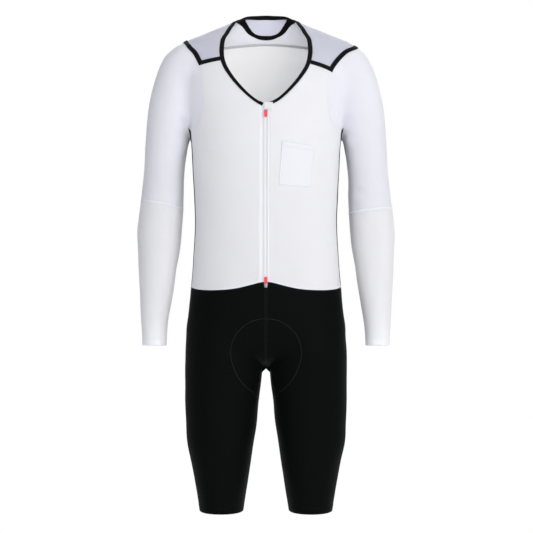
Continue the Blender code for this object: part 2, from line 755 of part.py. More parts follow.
def saddle(waist_point, steps):
    """The centre seam from the waist to the crotch, found by rays that fan out from one point."""
    centre = np.array(SADDLE_CENTRE)
    start = waist_point - centre
    forward = math.copysign(1, start[1])
    begin = math.atan2(-start[2], abs(start[1]))
    turn = np.linspace(begin, math.pi / 2, steps + 1)[1:]
    fan = np.stack([0 * turn, forward * np.cos(turn), -np.sin(turn)], axis=-1)
    return np.concatenate([waist_point[None], leave(np.repeat(centre[None], steps, axis=0), fan)])


def make_shorts(all_seams):
    """Each leg is one piece that wraps from the front centre round to the back centre."""
    for side, name in ((RIGHT, "right"), (LEFT, "left")):
        sign, seams = side["sign"], all_seams[name]
        top = np.concatenate([seams["waist_front"], seams["waist_side"][1:],
                              seams["waist_back"][1:]])
        front, back = saddle(top[0], STEPS["crotch"]), saddle(top[-1], STEPS["crotch"])
        crotch = front[-1]
        back[-1] = crotch
        heights = np.linspace(crotch[2], HEM_HEIGHT, STEPS["inseam"] + 1)[1:]
        level = ring_directions(np.zeros(len(heights)), sign)
        inseam = leave(leg_axis(heights, sign), level)
        angles = np.linspace(0, 360, len(top))
        hem_heights = np.full(len(top), HEM_HEIGHT)
        hem = leave(leg_axis(hem_heights, sign), ring_directions(angles, sign))
        hem[0] = hem[-1] = inseam[-1]
        grid = stretch(top, hem, np.concatenate([front, inseam]),
                       np.concatenate([back, inseam]), "leg", sign)
        add_panel(f"shorts_{name}", grid, "black_cloth")


def make_shoulder_tapes(all_seams, front_grids, yoke_grid, sleeve_grids):
    """Flat tapes over the yoke's seams, made from the points of the panels they lie on."""
    start, turn = STEPS["neck_front"], STEPS["yoke_front"]
    along = STEPS["shoulder"]
    for name in ("right", "left"):
        seams, front, sleeve = all_seams[name], front_grids[name], sleeve_grids[name]
        yoke = yoke_grid if name == "right" else yoke_grid[:, ::-1]
        path = np.concatenate([seams["yoke_front"], seams["shoulder"][1:]])
        first_sleeve = STEPS["armhole_front"]
        above = np.concatenate([yoke[:turn, 1], yoke[-2:-1, 1], yoke[-2, 1:along + 1]])
        below = np.concatenate([front[1, start:start + turn + 1],
                                sleeve[1, first_sleeve + 1:first_sleeve + along + 1]])
        normals = form_normals(path)
        tangents = unit(np.gradient(path, axis=0))
        half = np.where(np.arange(len(path)) <= turn, YOKE_TAPE_WIDTH, TAPE_WIDTH)[:, None] / 2
        arms = unit(path[[turn - 1, turn + 1]] - path[turn])
        half[turn] = TAPE_WIDTH / 2 / math.sin(math.acos(float(arms[0] @ arms[1])) / 2)
        rows = []
        for beside in (above, below):
            away = beside - path
            square = away - np.sum(away * tangents, axis=1, keepdims=True) * tangents
            square[turn] = away[turn]
            rows.append(path + unit(square) * half)
        grid = np.stack([rows[0], path, rows[1]])
        outer = grid + normals * (TAPE_LIFT + TAPE)
        add_wall(f"shoulder_tape_{name}", outer, outer - normals * TAPE, "black_binding")


def patch(corners, columns, rows):
    """Points of the form under a four-cornered patch on the front drawing, corners in order."""
    a, b, c, d = [np.array(corner, dtype=float) for corner in corners]
    grid = np.empty((rows + 1, columns + 1, 3))
    for r in range(rows + 1):
        for k in range(columns + 1):
            v, u = r / rows, k / columns
            x, z = (1 - v) * ((1 - u) * a + u * b) + v * ((1 - u) * d + u * c)
            grid[r, k] = lay(("front", x, z), 1)
    return grid


def make_pocket():
    """The flat patch pocket on the wearer's left chest."""
    grid = patch(POCKET_CORNERS, *POCKET_GRID)
    add_panel("pocket", grid, "white_cloth", thickness=TAPE, lift=PATCH_LIFT + TAPE, gap=0.0)


def make_zip(front_right):
    """The zip's cloth tapes behind the fronts, its closed coil, and the cover at its top."""
    heights = front_right[:, 0, 2].copy()
    heights[-1] = ZIP_END
    coil_right, coil_left = CHAIN_EDGES
    strips = (
        ("zip_chain", coil_right, coil_left, -CHAIN_SINK, CHAIN_THICK, "zip_chain"),
        ("zip_tape_right", RIGHT_FRONT_EDGE - ZIP_TAPE_HIDDEN, coil_right - ZIP_TAPE_GAP,
         -CLOTH - ZIP_TAPE_GAP, ZIP_TAPE, "zip_tape"),
        ("zip_tape_left", coil_left + ZIP_TAPE_GAP, LEFT_FRONT_EDGE + ZIP_TAPE_HIDDEN,
         -CLOTH - ZIP_TAPE_GAP, ZIP_TAPE, "zip_tape"),
    )
    for name, low, high, lift, thickness, material in strips:
        columns = np.linspace(low, high, 3)
        grid = np.array([[lay_straight(x, z) for x in columns] for z in heights])
        add_panel(name, grid, material, thickness=thickness, lift=lift, gap=0.0)
    (low, high), (top, bottom) = GARAGE_EDGES, GARAGE_HEIGHTS
    corners = ((low, top), (high, top), (high, bottom), (low, bottom))
    grid = patch(corners, *GARAGE_GRID)
    add_panel("zip_garage", grid, "white_cloth", thickness=CLOTH, lift=PATCH_LIFT + CLOTH, gap=0.0)


def prism(outline, axis, low, high):
    """A bmesh prism: an outline of pairs, drawn across an axis and extruded along it."""
    work = bmesh.new()
    rings = []
    for place in (low, high):
        ring = []
        for a, b in outline:
            spot = [a, b]
            spot.insert(axis, place)
            ring.append(work.verts.new(spot))
        rings.append(ring)
    work.faces.new(rings[0])
    work.faces.new(rings[1][::-1])
    for index in range(len(outline)):
        other = (index + 1) % len(outline)
        work.faces.new([rings[0][index], rings[1][index], rings[1][other], rings[0][other]])
    bmesh.ops.recalc_face_normals(work, faces=work.faces)
    return work


def combine(base, other, operation):
    """The union or difference of two bmeshes, as a new bmesh."""
    things = []
    for name, work in (("base", base), ("other", other)):
        mesh = bpy.data.meshes.new(name)
        work.to_mesh(mesh)
        work.free()
        thing = bpy.data.objects.new(name, mesh)
        bpy.context.scene.collection.objects.link(thing)
        things.append(thing)
    modifier = things[0].modifiers.new("combine", "BOOLEAN")
    modifier.operation = operation
    modifier.object = things[1]
    bpy.context.view_layer.update()
    evaluated = things[0].evaluated_get(bpy.context.evaluated_depsgraph_get())
    result = bmesh.new()
    result.from_mesh(evaluated.to_mesh())
    evaluated.to_mesh_clear()
    for thing in things:
        bpy.data.objects.remove(thing, do_unlink=True)
    return result


def slider_shape():
    """A slider body with the bail that holds the pull tab's bar."""
    top, bottom = SLIDER_ABOVE, -SLIDER_BELOW
    shoulder, waist = SLIDER_HALF * 0.62, SLIDER_HALF * 0.72
    outline = [(-SLIDER_HALF, top - 1.4 * MM), (-shoulder, top), (shoulder, top),
               (SLIDER_HALF, top - 1.4 * MM), (SLIDER_HALF, -2.2 * MM), (waist, bottom),
               (-waist, bottom), (-SLIDER_HALF, -2.2 * MM)]
    face = BAIL_SPACE / 2
    body = prism(outline, 1, face, face + SLIDER_THICK)
    outer, inner = BAIL_HALF_LENGTH, BAIL_HALF_LENGTH - BAIL_BAR
    root = face + SLIDER_THICK / 2
    crown = -face - BAIL_BAR
    chamfer = 0.5 * MM
    arch = [(root, -outer), (crown + chamfer, -outer), (crown, -outer + chamfer),
            (crown, outer - chamfer), (crown + chamfer, outer), (root, outer),
            (root, inner), (-face, inner), (-face, -inner), (root, -inner)]
    bail = prism(arch, 0, -BAIL_HALF_WIDTH, BAIL_HALF_WIDTH)
    return combine(body, bail, "UNION")


def pull_shape(up):
    """A pull tab with an eye; it hangs down from its bar, or stands up from it."""
    away = 1 if up else -1
    corner, steps = 2.2 * MM, 5
    tip = PULL_LENGTH
    outline = [(PULL_HALF * 0.8, -PULL_BAR), (PULL_HALF, PULL_BAR * 2)]
    for index in range(steps + 1):
        turn = math.pi / 2 * index / steps
        outline.append((PULL_HALF - corner + corner * math.cos(turn),
                        tip - corner + corner * math.sin(turn)))
    outline += [(-x, z) for x, z in reversed(outline)]
    outline = [(x, away * z) for x, z in outline]
    tab = prism(outline, 1, -PULL_THICK / 2, PULL_THICK / 2)
    near, far = sorted((away * PULL_BAR * 0.9, away * PULL_EYE_END))
    eye = [(-PULL_EYE_HALF, near), (PULL_EYE_HALF, near), (PULL_EYE_HALF, far),
           (-PULL_EYE_HALF, far)]
    cutter = prism(eye, 1, -PULL_THICK, PULL_THICK)
    return combine(tab, cutter, "DIFFERENCE")


def make_sliders():
    """Two sliders on the zip, each with its pull tab on a hinge along X."""
    for name, height, up in (("top", PULL_TOP_Z, False), ("bottom", PULL_BOTTOM_Z, True)):
        spot = lay_straight(PULL_X, height)
        normal = form_normals(spot[None])[0]
        turn = math.atan2(-normal[2], -normal[1])
        rise = SLIDER_LIFT + SLIDER_THICK + BAIL_SPACE / 2
        hinge = spot + np.array([0, -math.cos(turn), -math.sin(turn)]) * rise
        add_object(f"slider_{name}", slider_shape(), "slider_metal", hinge, turn)
        add_object(f"pull_{name}", pull_shape(up), "pull_red", hinge, turn)


def main():
    for thing in list(bpy.data.objects):
        bpy.data.objects.remove(thing, do_unlink=True)
    all_seams = {"right": side_seams(RIGHT), "left": side_seams(LEFT)}
    front_grids = make_fronts(all_seams)
    make_sides(all_seams)
    make_back(all_seams)
    yoke_grid, neck_top = make_yoke(all_seams)
    make_neck_binding(all_seams, neck_top)
    sleeve_grids = make_sleeves(all_seams)
    make_shorts(all_seams)
    make_shoulder_tapes(all_seams, front_grids, yoke_grid, sleeve_grids)
    make_pocket()
    make_zip(front_grids["right"])
    make_sliders()


main()
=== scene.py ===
"""A cycling skinsuit in its worn shape: cloth shells, bindings, zip, stitching and a pale studio.

The panels follow the same seams as the frame's solids, drawn four times as finely, and get creases,
sewn edges and threads. Each operator makes one piece or one group of like pieces. Tables are in
millimetres and the rest is in metres. The front faces -Y and the wearer's left is +X.
"""
import json
import math
from functools import lru_cache

import bmesh
import bpy
import numpy as np
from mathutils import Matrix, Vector


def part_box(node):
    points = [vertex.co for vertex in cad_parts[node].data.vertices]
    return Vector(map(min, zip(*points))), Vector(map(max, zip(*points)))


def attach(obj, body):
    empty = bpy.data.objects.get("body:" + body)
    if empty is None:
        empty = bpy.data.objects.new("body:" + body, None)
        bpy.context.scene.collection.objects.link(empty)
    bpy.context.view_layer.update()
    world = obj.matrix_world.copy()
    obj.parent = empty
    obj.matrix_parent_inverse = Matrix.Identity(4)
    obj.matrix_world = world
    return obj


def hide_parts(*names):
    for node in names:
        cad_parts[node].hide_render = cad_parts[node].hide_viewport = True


bl_info = {
    "name": "Cycling skinsuit",
    "version": (1, 0, 0),
    "blender": (4, 5, 0),
    "location": "View3D > Sidebar > Skinsuit",
    "description": "Makes a worn cycling skinsuit piece by piece, and its studio",
    "category": "Object",
}

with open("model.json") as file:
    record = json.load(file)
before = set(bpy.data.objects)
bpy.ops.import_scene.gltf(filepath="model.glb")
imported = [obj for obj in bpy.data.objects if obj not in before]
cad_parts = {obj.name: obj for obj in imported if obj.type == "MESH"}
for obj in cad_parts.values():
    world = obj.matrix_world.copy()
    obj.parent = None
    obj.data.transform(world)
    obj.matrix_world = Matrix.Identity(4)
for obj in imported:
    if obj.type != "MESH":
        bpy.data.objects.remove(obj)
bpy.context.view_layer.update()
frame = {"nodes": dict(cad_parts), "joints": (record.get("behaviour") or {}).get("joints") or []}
BODY_NAME = "garment"

MM = 0.001
FINE = 4

# Half width of the shoulder tapes in millimetres, and the stretch beside their corner left free
TAPE_HALF = 4.7
TAPE_CORNER = 5.5 * MM

# Places across the front, from the centre line
CHAIN_EDGES = (-3.8 * MM, 0.8 * MM)
RIGHT_FRONT_EDGE = -8.0 * MM
LEFT_FRONT_EDGE = 1.9 * MM
ZIP_END = -0.5141

# The eye that the front seams are drawn from, which is also the camera's place
VIEW_DISTANCE = 3.2
VIEW_HEIGHT = -0.485
# Rays to the front start this far behind the plane y = 0, inside the form
INSIDE_Y = 0.015

# Rows of a sleeve lie no further apart than this, and how many of the upper ones are evened out
WIDEST_ROW = 6.0 * MM
EVENED_ROWS = 26
EVENING_ROUNDS = 60
# Seams that start or end on the zip or at the side panels
NECK_START = -0.163
WAIST_SIDE = (("side", 0, -525),)

# The zip behind the fronts and its coil
ZIP_TAPE_HIDDEN = 7.0 * MM
COIL_PITCH = 1.15 * MM
COIL_WIRE = 0.95 * MM
COIL_RISE = 0.7 * MM
# How far a loop leans along the zip, as a share of the pitch, and the sides of its wire
COIL_LEAN = 0.28
COIL_SIDES = 6

# The neck binding is narrow at the zip and widens up to the shoulders
BINDING_HEIGHTS = (-155.0 * MM, -70.0 * MM)
BINDING_WIDTHS = (5.5 * MM, 8.8 * MM)

# Grip ridges on the pull tabs
GRIPS = 3
GRIP_PITCH = 1.35 * MM
GRIP_HALF = 1.9 * MM
GRIP_ROUND = 0.3 * MM
GRIP_HEIGHT = 0.5 * MM

# Width of the zigzag over a flat seam, how high its threads lie on a seam band, its step as a
# share of a stitch, and the share of a straight stitch that its thread fills
COVER_WIDTH = 2.6 * MM
BAND_HEIGHT = 0.42 * MM
COVER_SHARE = 0.6
STITCH_SHARE = 0.76

# Stitch rows above the cuff's edge and the leg's hem
CUFF_STITCH = 8.9 * MM
LEG_STITCH = 13.0 * MM

# The seat pad's outline on one leg: on the front drawing, round the inner thigh and on the back
PAD_FRONT = (
    ("front", 0, -590), ("front", 24, -593), ("front", 44, -604), ("front", 60, -621),
    ("front", 69, -642), ("front", 71, -662), ("front", 66, -684), ("front", 55, -708),
    ("front", 40, -726), ("front", 24, -739),
)
PAD_UNDER = (("inner", -30, -746), ("inner", 0, -748), ("inner", 28, -746))
PAD_BACK = (
    ("back", 24, -737), ("back", 40, -728), ("back", 62, -700), ("back", 74, -660),
    ("back", 70, -620), ("back", 50, -590), ("back", 24, -574), ("back", 0, -570),
)

# Studio lamps: name, place, size, power in watts and colour
LIGHTS = (
    ("key", (1.8, -2.6, 0.3), (2.4, 2.4), 50, (1.0, 0.985, 0.97)),
    ("front", (0.3, -3.0, 0.1), (1.4, 1.4), 25, (1.0, 0.99, 0.99)),
    ("fill", (-1.5, -2.6, -0.9), (1.6, 1.6), 10, (0.95, 0.96, 1.0)),
    ("side", (2.8, -1.0, -0.3), (2.4, 2.4), 4, (1.0, 1.0, 1.0)),
    ("top", (0.9, 0.1, 2.0), (2.4, 2.4), 10, (1.0, 1.0, 1.0)),
    ("rear", (0.0, 2.4, 0.4), (2.4, 2.4), 40, (1.0, 1.0, 1.0)),
)
# A knit's tint: how close its uneven dye patches lie, how much they count, and how much painted shade
# falls between the loops
DYE_PATCHES = 9.0
DYE_SHARE = 0.55
LOOP_SHADE = 0.45
# How far light seeps into thin pale cloth, and how much of it does
LIGHT_DEPTH = 5.0 * MM
GLOW = 0.7
LIGHT_AIM = (0.0, 0.0, -0.5)
SENSOR = 36.0
EYE_X = 0.001

# Edges sharper than this many degrees stay sharp, and how rough the cloths' sheen is
SHARP_ANGLE = 60
SHEEN_ROUGHNESS = 0.5

# Columns: height, centre x, centre y, half width, front depth, back depth
BODY_ROWS = (
    (32, 0, 46, 16, 16, 18),
    (26, 0, 44, 30, 20, 22),
    (22, 0, 42.5, 39, 23, 25),
    (17, 0, 41, 48.5, 27, 28),
    (11.5, 0, 39.5, 60, 30, 30),
    (5, 0, 36, 74, 34, 33.5),
    (-2, 0, 32, 88, 37, 37),
    (-9, 0, 28, 105, 41, 41),
    (-21, 0, 22, 131, 47, 47),
    (-33, 0, 16, 158, 54, 55),
    (-46, 0, 12, 170, 61, 64),
    (-64, 0, 7, 174, 71, 74),
    (-90, 0, 3, 174, 84, 85),
    (-120, 0, 0, 167, 96, 92),
    (-160, 0, 0, 159, 107, 97),
    (-200, 0, 0, 153, 112, 98),
    (-236, 0, 0, 149.5, 112, 96),
    (-280, 0, 0, 147, 107, 92),
    (-330, 0, 0, 144.5, 100, 85),
    (-392, 0, 0, 142, 93, 76),
    (-450, 0, 0, 144, 92, 75),
    (-500, 0, 0, 147.5, 94, 82),
    (-540, 0, 0, 151, 95, 90),
    (-584, 0, 0, 153.5, 94, 97),
    (-620, 0, 0, 144, 88, 94),
    (-650, 0, 0, 116, 74, 78),
    (-668, 0, 0, 76, 48, 52),
    (-677, 0, 0, 30, 20, 22),
)
ARM_ROWS = (
    (-46, 160, 6, 18, 30, 30),
    (-60, 163, 6, 34, 43, 43),
    (-80, 167, 5, 43, 49, 49),
    (-110, 174, 5, 47.5, 52, 52),
    (-150, 182.5, 5, 49.3, 53, 53),
    (-200, 191, 5, 47.5, 51, 51),
    (-236, 197.5, 6, 43.6, 49, 49),
    (-272, 202, 8, 41, 48, 48),
    (-308, 205, 10, 40.5, 47, 47),
    (-344, 207.5, 12, 42.5, 46, 46),
    (-380, 210.5, 13, 44, 46, 47),
    (-416, 213.5, 11, 44.5, 45, 46),
    (-452, 214.5, 6, 42, 43, 44),
    (-488, 216.5, -2, 38, 40, 41),
    (-524, 217.5, -11, 34.5, 37, 37),
    (-560, 219, -21, 30.5, 33, 33),
    (-596, 220.5, -30, 26.5, 29, 29),
    (-642, 220.5, -39, 23.5, 26, 26),
    (-660, 220.5, -42, 23, 25, 25),
)
LEG_ROWS = (
    (-560, 76, 0, 56, 62, 62),
    (-600, 79.5, 0, 75, 80, 86),
    (-640, 82, 0, 78.5, 86, 95),
    (-680, 84, 0, 77.5, 85, 92),
    (-720, 86, 0, 75.5, 82, 84),
    (-752, 88, 0, 73.5, 80, 75),
    (-792, 89, 0, 71, 78, 66),
    (-832, 91, 0, 67, 76, 59),
    (-872, 90, 0, 60, 73, 53),
    (-912, 89, 0, 53, 69, 47),
    (-952, 89, 0, 46.5, 64, 44),
    (-976, 89, 0, 43, 61, 43),
    (-1000, 89, 0, 42, 59, 42),
)
CAP_STEEPNESS = 3.0
BODY_ROUNDNESS = 2.35
ARM_ROUNDNESS = 2.1
LEG_ROUNDNESS = 2.15

# How softly the limbs run into the body
SHOULDER_BLEND = (-0.060, 0.030)
ARMPIT_BLEND = (-0.215, 0.006)
HIP_BLEND = 0.020
CROTCH_BLEND = 0.018

# Rays that find the cloth start on a limb's axis, below these heights
BODY_CEILING = -0.110
ARM_CEILING = -0.105
LEG_START = -0.520
LEG_FULL = -0.660
SADDLE_CENTRE = (0.0, 0.0, -0.600)

# Seam rows are: how the row is placed, then two sizes. "front" is x, z on the front drawing,
# "back" x, z, "side" y, z, "top" and "under" x, y. A row's x is for the wearer's left and is
# mirrored for the right.
NECK_FRONT = (
    ("front", 26.3, -152),
    ("front", 38.6, -142),
    ("front", 58.8, -122),
    ("front", 75, -102),
    ("front", 86.3, -84),
)
NECK_SIDE = (
    ("front", 93, -54),
    ("front", 92, -40),
    ("front", 87.2, -24.5),
    ("front", 77, -9),
    ("top", 63, 35),
    ("back", 58.5, 10.5),
)
NECK_TIP = (("back", 58.5, 10.5), ("back", 51, 15.2), ("back", 44, 17.8))
NECK_BACK = (("back", 44, 17.8), ("back", 22, 18.6), ("back", 0, 18.8))
INSET_UPPER = (("back", 44, 17.8), ("back", 34.3, 2.3), ("back", 23.3, -10), ("back", 12, -14),
               ("back", 0, -14.6))
INSET_LOWER = (("back", 58.5, 10.5), ("back", 46.5, 2.3), ("back", 37.5, -9), ("back", 22.5, -18),
               ("back", 12, -21.6), ("back", 0, -22.8))
YOKE_BACK = (("back", 150, -54), ("back", 90, -40), ("back", 0, -32))
WAIST_FRONT = (
    ("front", 96, -532),
    ("front", 60, -528.5),
    ("front", 30, -521.5),
    ("front", 10, -516.5),
    ("front", 0, -515.5),
)
WAIST_BACK = (("back", 118, -517), ("back", 60, -510), ("back", 0, -507))
ARMHOLE_BACK = (("back", 140, -100), ("back", 136, -150), ("back", 142, -195))
SIDE_SEAM_FRONT = (
    ("side", -27, -262),
    ("side", -26, -330),
    ("side", -24, -400),
    ("side", -22, -460),
    ("side", -21, -526),
)
SIDE_SEAM_BACK = (
    ("side", 27, -262),
    ("side", 26, -330),
    ("side", 24, -400),
    ("side", 23, -460),
    ("side", 22, -523),
)
UNDERARM = ((155, -27), (152.3, -14), (151.6, 0), (152, 14), (153, 27))

# The two sides differ a little in how they were fitted; x is again for the wearer's left
RIGHT = {
    "sign": -1,
    "neck_point": ("front", 91.6, -69),
    "yoke_corner": ("front", 131, -78),
    "shoulder": (("front", 142.5, -57), ("front", 153, -46), ("top", 163, 14), ("back", 160, -52)),
    "yoke_end": ("back", 150, -54),
    "armhole": (("front", 129, -94), ("front", 125.5, -138), ("front", 130, -183),
                ("front", 140, -203)),
    "elbow": (-353, 17),
}
LEFT = {
    "sign": 1,
    "neck_point": ("front", 89.4, -76),
    "yoke_corner": ("front", 130, -91),
    "shoulder": (("front", 142, -73), ("front", 158, -57), ("front", 174, -49.5), ("top", 181, 14),
                 ("back", 170, -62)),
    "yoke_end": ("back", 150, -54),
    "armhole": (("front", 125.5, -105), ("front", 124, -150), ("front", 129.5, -188),
                ("front", 142, -210)),
    "elbow": (-368, 10),
}
CUFF_TILT = 0.06
CUFF_HEIGHT = -0.641
HEM_HEIGHT = -0.972

# The pocket's corners on the front drawing, from the zip side's top, clockwise as seen
POCKET_CORNERS = ((32, -233), (98, -244), (89.5, -326), (25.5, -321))
GARAGE_CORNERS = ((-4.0, -156.0), (14.0, -156.0), (14.0, -170.8), (-4.0, -170.8))

# Steps along each seam, shared by the panels on both sides of it
STEPS = {
    "neck_front": 5, "yoke_front": 5, "neck_side": 9, "neck_tip": 1, "neck_back": 14,
    "shoulder": 8, "armhole_front": 7, "armhole_back": 8, "underarm": 4, "side": 9,
    "waist_front": 10, "yoke_back": 16, "upper_sleeve": 10, "lower_sleeve": 8,
    "crotch": 7, "inseam": 10,
}

CREASES = (
    ("both", "front", (128, -196), (112, -204), (92, -200), 9, -1.1),
    ("both", "front", (134, -214), (120, -228), (100, -232), 10, -1.2),
    ("left", "front", (132, -238), (120, -252), (108, -262), 9, -0.7),
    ("right", "front", (133, -232), (124, -250), (116, -270), 10, -0.9),
    ("both", "front", (152, -206), (164, -196), (178, -192), 9, -1.2),
    ("both", "front", (152, -224), (166, -222), (184, -228), 9, -1.0),
    ("left", "front", (150, -240), (164, -250), (176, -262), 8, -0.7),
    ("right", "front", (148, -246), (160, -258), (168, -276), 8, -0.8),
    ("both", "front", (176, -330), (188, -338), (202, -338), 9, -0.9),
    ("right", "front", (180, -362), (192, -372), (208, -374), 9, -0.8),
    ("left", "front", (184, -384), (196, -392), (212, -392), 9, -0.8),
    ("both", "front", (196, -408), (208, -414), (222, -412), 10, -0.6),
    ("both", "front", (46, -522), (44, -500), (47, -470), 16, -0.7),
    ("both", "front", (110, -520), (104, -500), (108, -478), 15, -0.7),
    ("right", "front", (140, -470), (120, -462), (98, -466), 14, -0.7),
    ("left", "front", (140, -452), (124, -448), (104, -454), 14, -0.6),
    ("both", "front", (16, -652), (10, -668), (7, -684), 5, -1.6),
    ("both", "front", (34, -648), (22, -672), (12, -690), 8, -1.5),
    ("both", "front", (62, -640), (44, -662), (28, -684), 12, -1.1),
    ("both", "front", (104, -622), (78, -640), (56, -652), 16, -0.8),
    ("both", "front", (14, -706), (28, -716), (42, -716), 9, -0.9),
    ("both", "front", (20, -734), (36, -748), (54, -752), 12, -0.7),
    ("both", "front", (122, -806), (112, -850), (104, -890), 18, -0.7),
    ("both", "front", (60, -880), (78, -896), (98, -902), 16, -0.6),
    ("both", "back", (132, -206), (112, -222), (88, -226), 11, -1.2),
    ("both", "back", (136, -182), (116, -184), (94, -176), 11, -1.0),
    ("left", "back", (130, -240), (116, -262), (100, -274), 11, -0.9),
    ("right", "back", (130, -248), (112, -266), (92, -274), 11, -0.8),
    ("both", "back", (138, -392), (108, -402), (70, -400), 14, -1.2),
    ("right", "back", (132, -420), (96, -432), (52, -428), 14, -1.1),
    ("left", "back", (134, -426), (100, -440), (60, -438), 14, -1.1),
    ("both", "back", (128, -452), (92, -464), (48, -462), 15, -1.0),
    ("right", "back", (60, -376), (20, -384), (-24, -380), 15, -0.8),
    ("left", "back", (36, -414), (6, -418), (-26, -412), 14, -0.8),
    ("both", "back", (118, -486), (84, -494), (44, -490), 13, -0.7),
    ("both", "back", (112, -690), (78, -704), (36, -700), 12, -1.3),
    ("both", "back", (96, -712), (70, -722), (40, -724), 10, -0.8),
    ("both", "back", (30, -650), (20, -672), (12, -692), 9, -1.2),
    ("both", "back", (118, -880), (92, -888), (66, -884), 16, -0.8),
    ("both", "back", (112, -914), (92, -920), (70, -916), 14, -0.6),
    ("both", "back", (40, -70), (30, -96), (24, -130), 18, -0.6),
)


def hermite(knots, slopes, index, t, span):
    """Cubic between two rows, from their values and slopes."""
    return (
        (2 * t ** 3 - 3 * t ** 2 + 1) * knots[index]
        + (t ** 3 - 2 * t ** 2 + t) * span * slopes[index]
        + (3 * t ** 2 - 2 * t ** 3) * knots[index + 1]
        + (t ** 3 - t ** 2) * span * slopes[index + 1]
    )


def unit(vectors):
    """The vectors at a length of one."""
    length = np.linalg.norm(vectors, axis=-1, keepdims=True)
    return vectors / np.maximum(length, 1e-12)


class Limb:
    """A smooth tube whose flat sections are read from a table of rows, highest first."""

    SLICE = 0.25 * MM

    def __init__(self, rows, roundness):
        table = np.array(rows, dtype=float)[::-1] * MM
        heights, columns = table[:, 0], table[:, 1:]
        slopes = np.gradient(columns, heights, axis=0)
        self.low, self.high = heights[0], heights[-1]
        wanted = np.arange(self.low, self.high + self.SLICE, self.SLICE)
        index = np.clip(np.searchsorted(heights, wanted, side="right") - 1, 0, len(heights) - 2)
        span = (heights[index + 1] - heights[index])[:, None]
        t = (wanted - heights[index])[:, None] / span
        self.slices = hermite(columns, slopes, index, t, span).T
        self.roundness = roundness

    def section(self, z):
        """Centre x, centre y, half width, front depth and back depth at heights z."""
        place = (np.clip(z, self.low, self.high) - self.low) / self.SLICE
        index = np.minimum(place.astype(int), self.slices.shape[1] - 2)
        share = place - index
        return (1 - share) * self.slices[:, index] + share * self.slices[:, index + 1]

    def outside(self, x, y, z):
        """How far points lie outside the tube, below zero inside it."""
        centre_x, centre_y, half, front, back = self.section(z)
        across = x - centre_x
        deep = y - centre_y
        depth = np.where(deep < 0, front, back)
        power = self.roundness
        share = (np.abs(across / half) ** power + np.abs(deep / depth) ** power) ** (1 / power)
        share = np.maximum(share, 1e-6)
        reach = np.maximum(np.hypot(across, deep), 1e-6 * half)
        return reach * (1 - 1 / share) + CAP_STEEPNESS * np.abs(z - np.clip(z, self.low, self.high))


BODY = Limb(BODY_ROWS, BODY_ROUNDNESS)
ARM = Limb(ARM_ROWS, ARM_ROUNDNESS)
LEG = Limb(LEG_ROWS, LEG_ROUNDNESS)


def soft_sum(first, second, reach):
    """Join two shapes, rounding the inner corner between them over the given reach."""
    near = np.maximum(reach - np.abs(first - second), 0.0) / reach
    return np.minimum(first, second) - near * near * reach / 4


def outside_form(points):
    """How far points lie outside the worn form, below zero inside it."""
    x, y, z = points[..., 0], points[..., 1], points[..., 2]
    legs = soft_sum(LEG.outside(x, y, z), LEG.outside(-x, y, z), CROTCH_BLEND)
    trunk = soft_sum(BODY.outside(x, y, z), legs, HIP_BLEND)
    heights = (ARMPIT_BLEND[0], SHOULDER_BLEND[0])
    reach = np.interp(z, heights, (ARMPIT_BLEND[1], SHOULDER_BLEND[1]))
    return soft_sum(trunk, ARM.outside(np.abs(x), y, z), reach)


def form_normals(points):
    """Outward directions of the form at points on it."""
    step = 0.0004
    slope = np.empty(points.shape)
    for axis in range(3):
        shift = np.zeros(3)
        shift[axis] = step
        slope[..., axis] = outside_form(points + shift) - outside_form(points - shift)
    return unit(slope)


def leave(origins, directions, reach=0.46, step=0.003):
    """The points where rays from inside the form first leave it."""
    found = np.empty(origins.shape)
    marks = np.arange(step, reach, step)
    for some in np.array_split(np.arange(len(origins)), len(origins) // 1500 + 1):
        start, along = origins[some], directions[some]
        walk = start[:, None] + along[:, None] * marks[None, :, None]
        out = outside_form(walk) > 0
        if not np.all(out.any(axis=1)):
            raise ValueError("a ray never leaves the form")
        high = marks[np.argmax(out, axis=1)]
        low = high - step
        for _ in range(14):
            middle = (low + high) / 2
            out = outside_form(start + along * middle[:, None]) > 0
            high = np.where(out, middle, high)
            low = np.where(out, low, middle)
        found[some] = start + along * high[:, None]
    return found


def body_axis(heights, sign):
    """Points on the body's axis."""
    return np.stack([0 * heights, BODY.section(heights)[1], heights], axis=-1)


def arm_axis(heights, sign):
    """Points on an arm's axis."""
    centre = ARM.section(heights)
    return np.stack([sign * centre[0], centre[1], heights], axis=-1)


def leg_axis(heights, sign):
    """Points that move from the body's axis at the waist to the leg's axis below the hip."""
    share = np.clip((LEG_START - heights) / (LEG_START - LEG_FULL), 0, 1)
    share = share * share * (3 - 2 * share)
    return np.stack([sign * share * LEG.section(heights)[0], 0 * heights, heights], axis=-1)


AXES = {
    "body": (body_axis, BODY_CEILING),
    "arm": (arm_axis, ARM_CEILING),
    "leg": (leg_axis, 0.0),
}


def as_rays(points, limb, sign):
    """Heights on a limb's axis and directions from there to the points, as four columns."""
    axis, ceiling = AXES[limb]
    heights = np.minimum(points[:, 2], ceiling)
    return np.column_stack([heights, unit(points - axis(heights, sign))])


def from_rays(rays, limb, sign):
    """Points of the form that lie on rays given as height and direction."""
    return leave(AXES[limb][0](rays[:, 0], sign), unit(rays[:, 1:]))


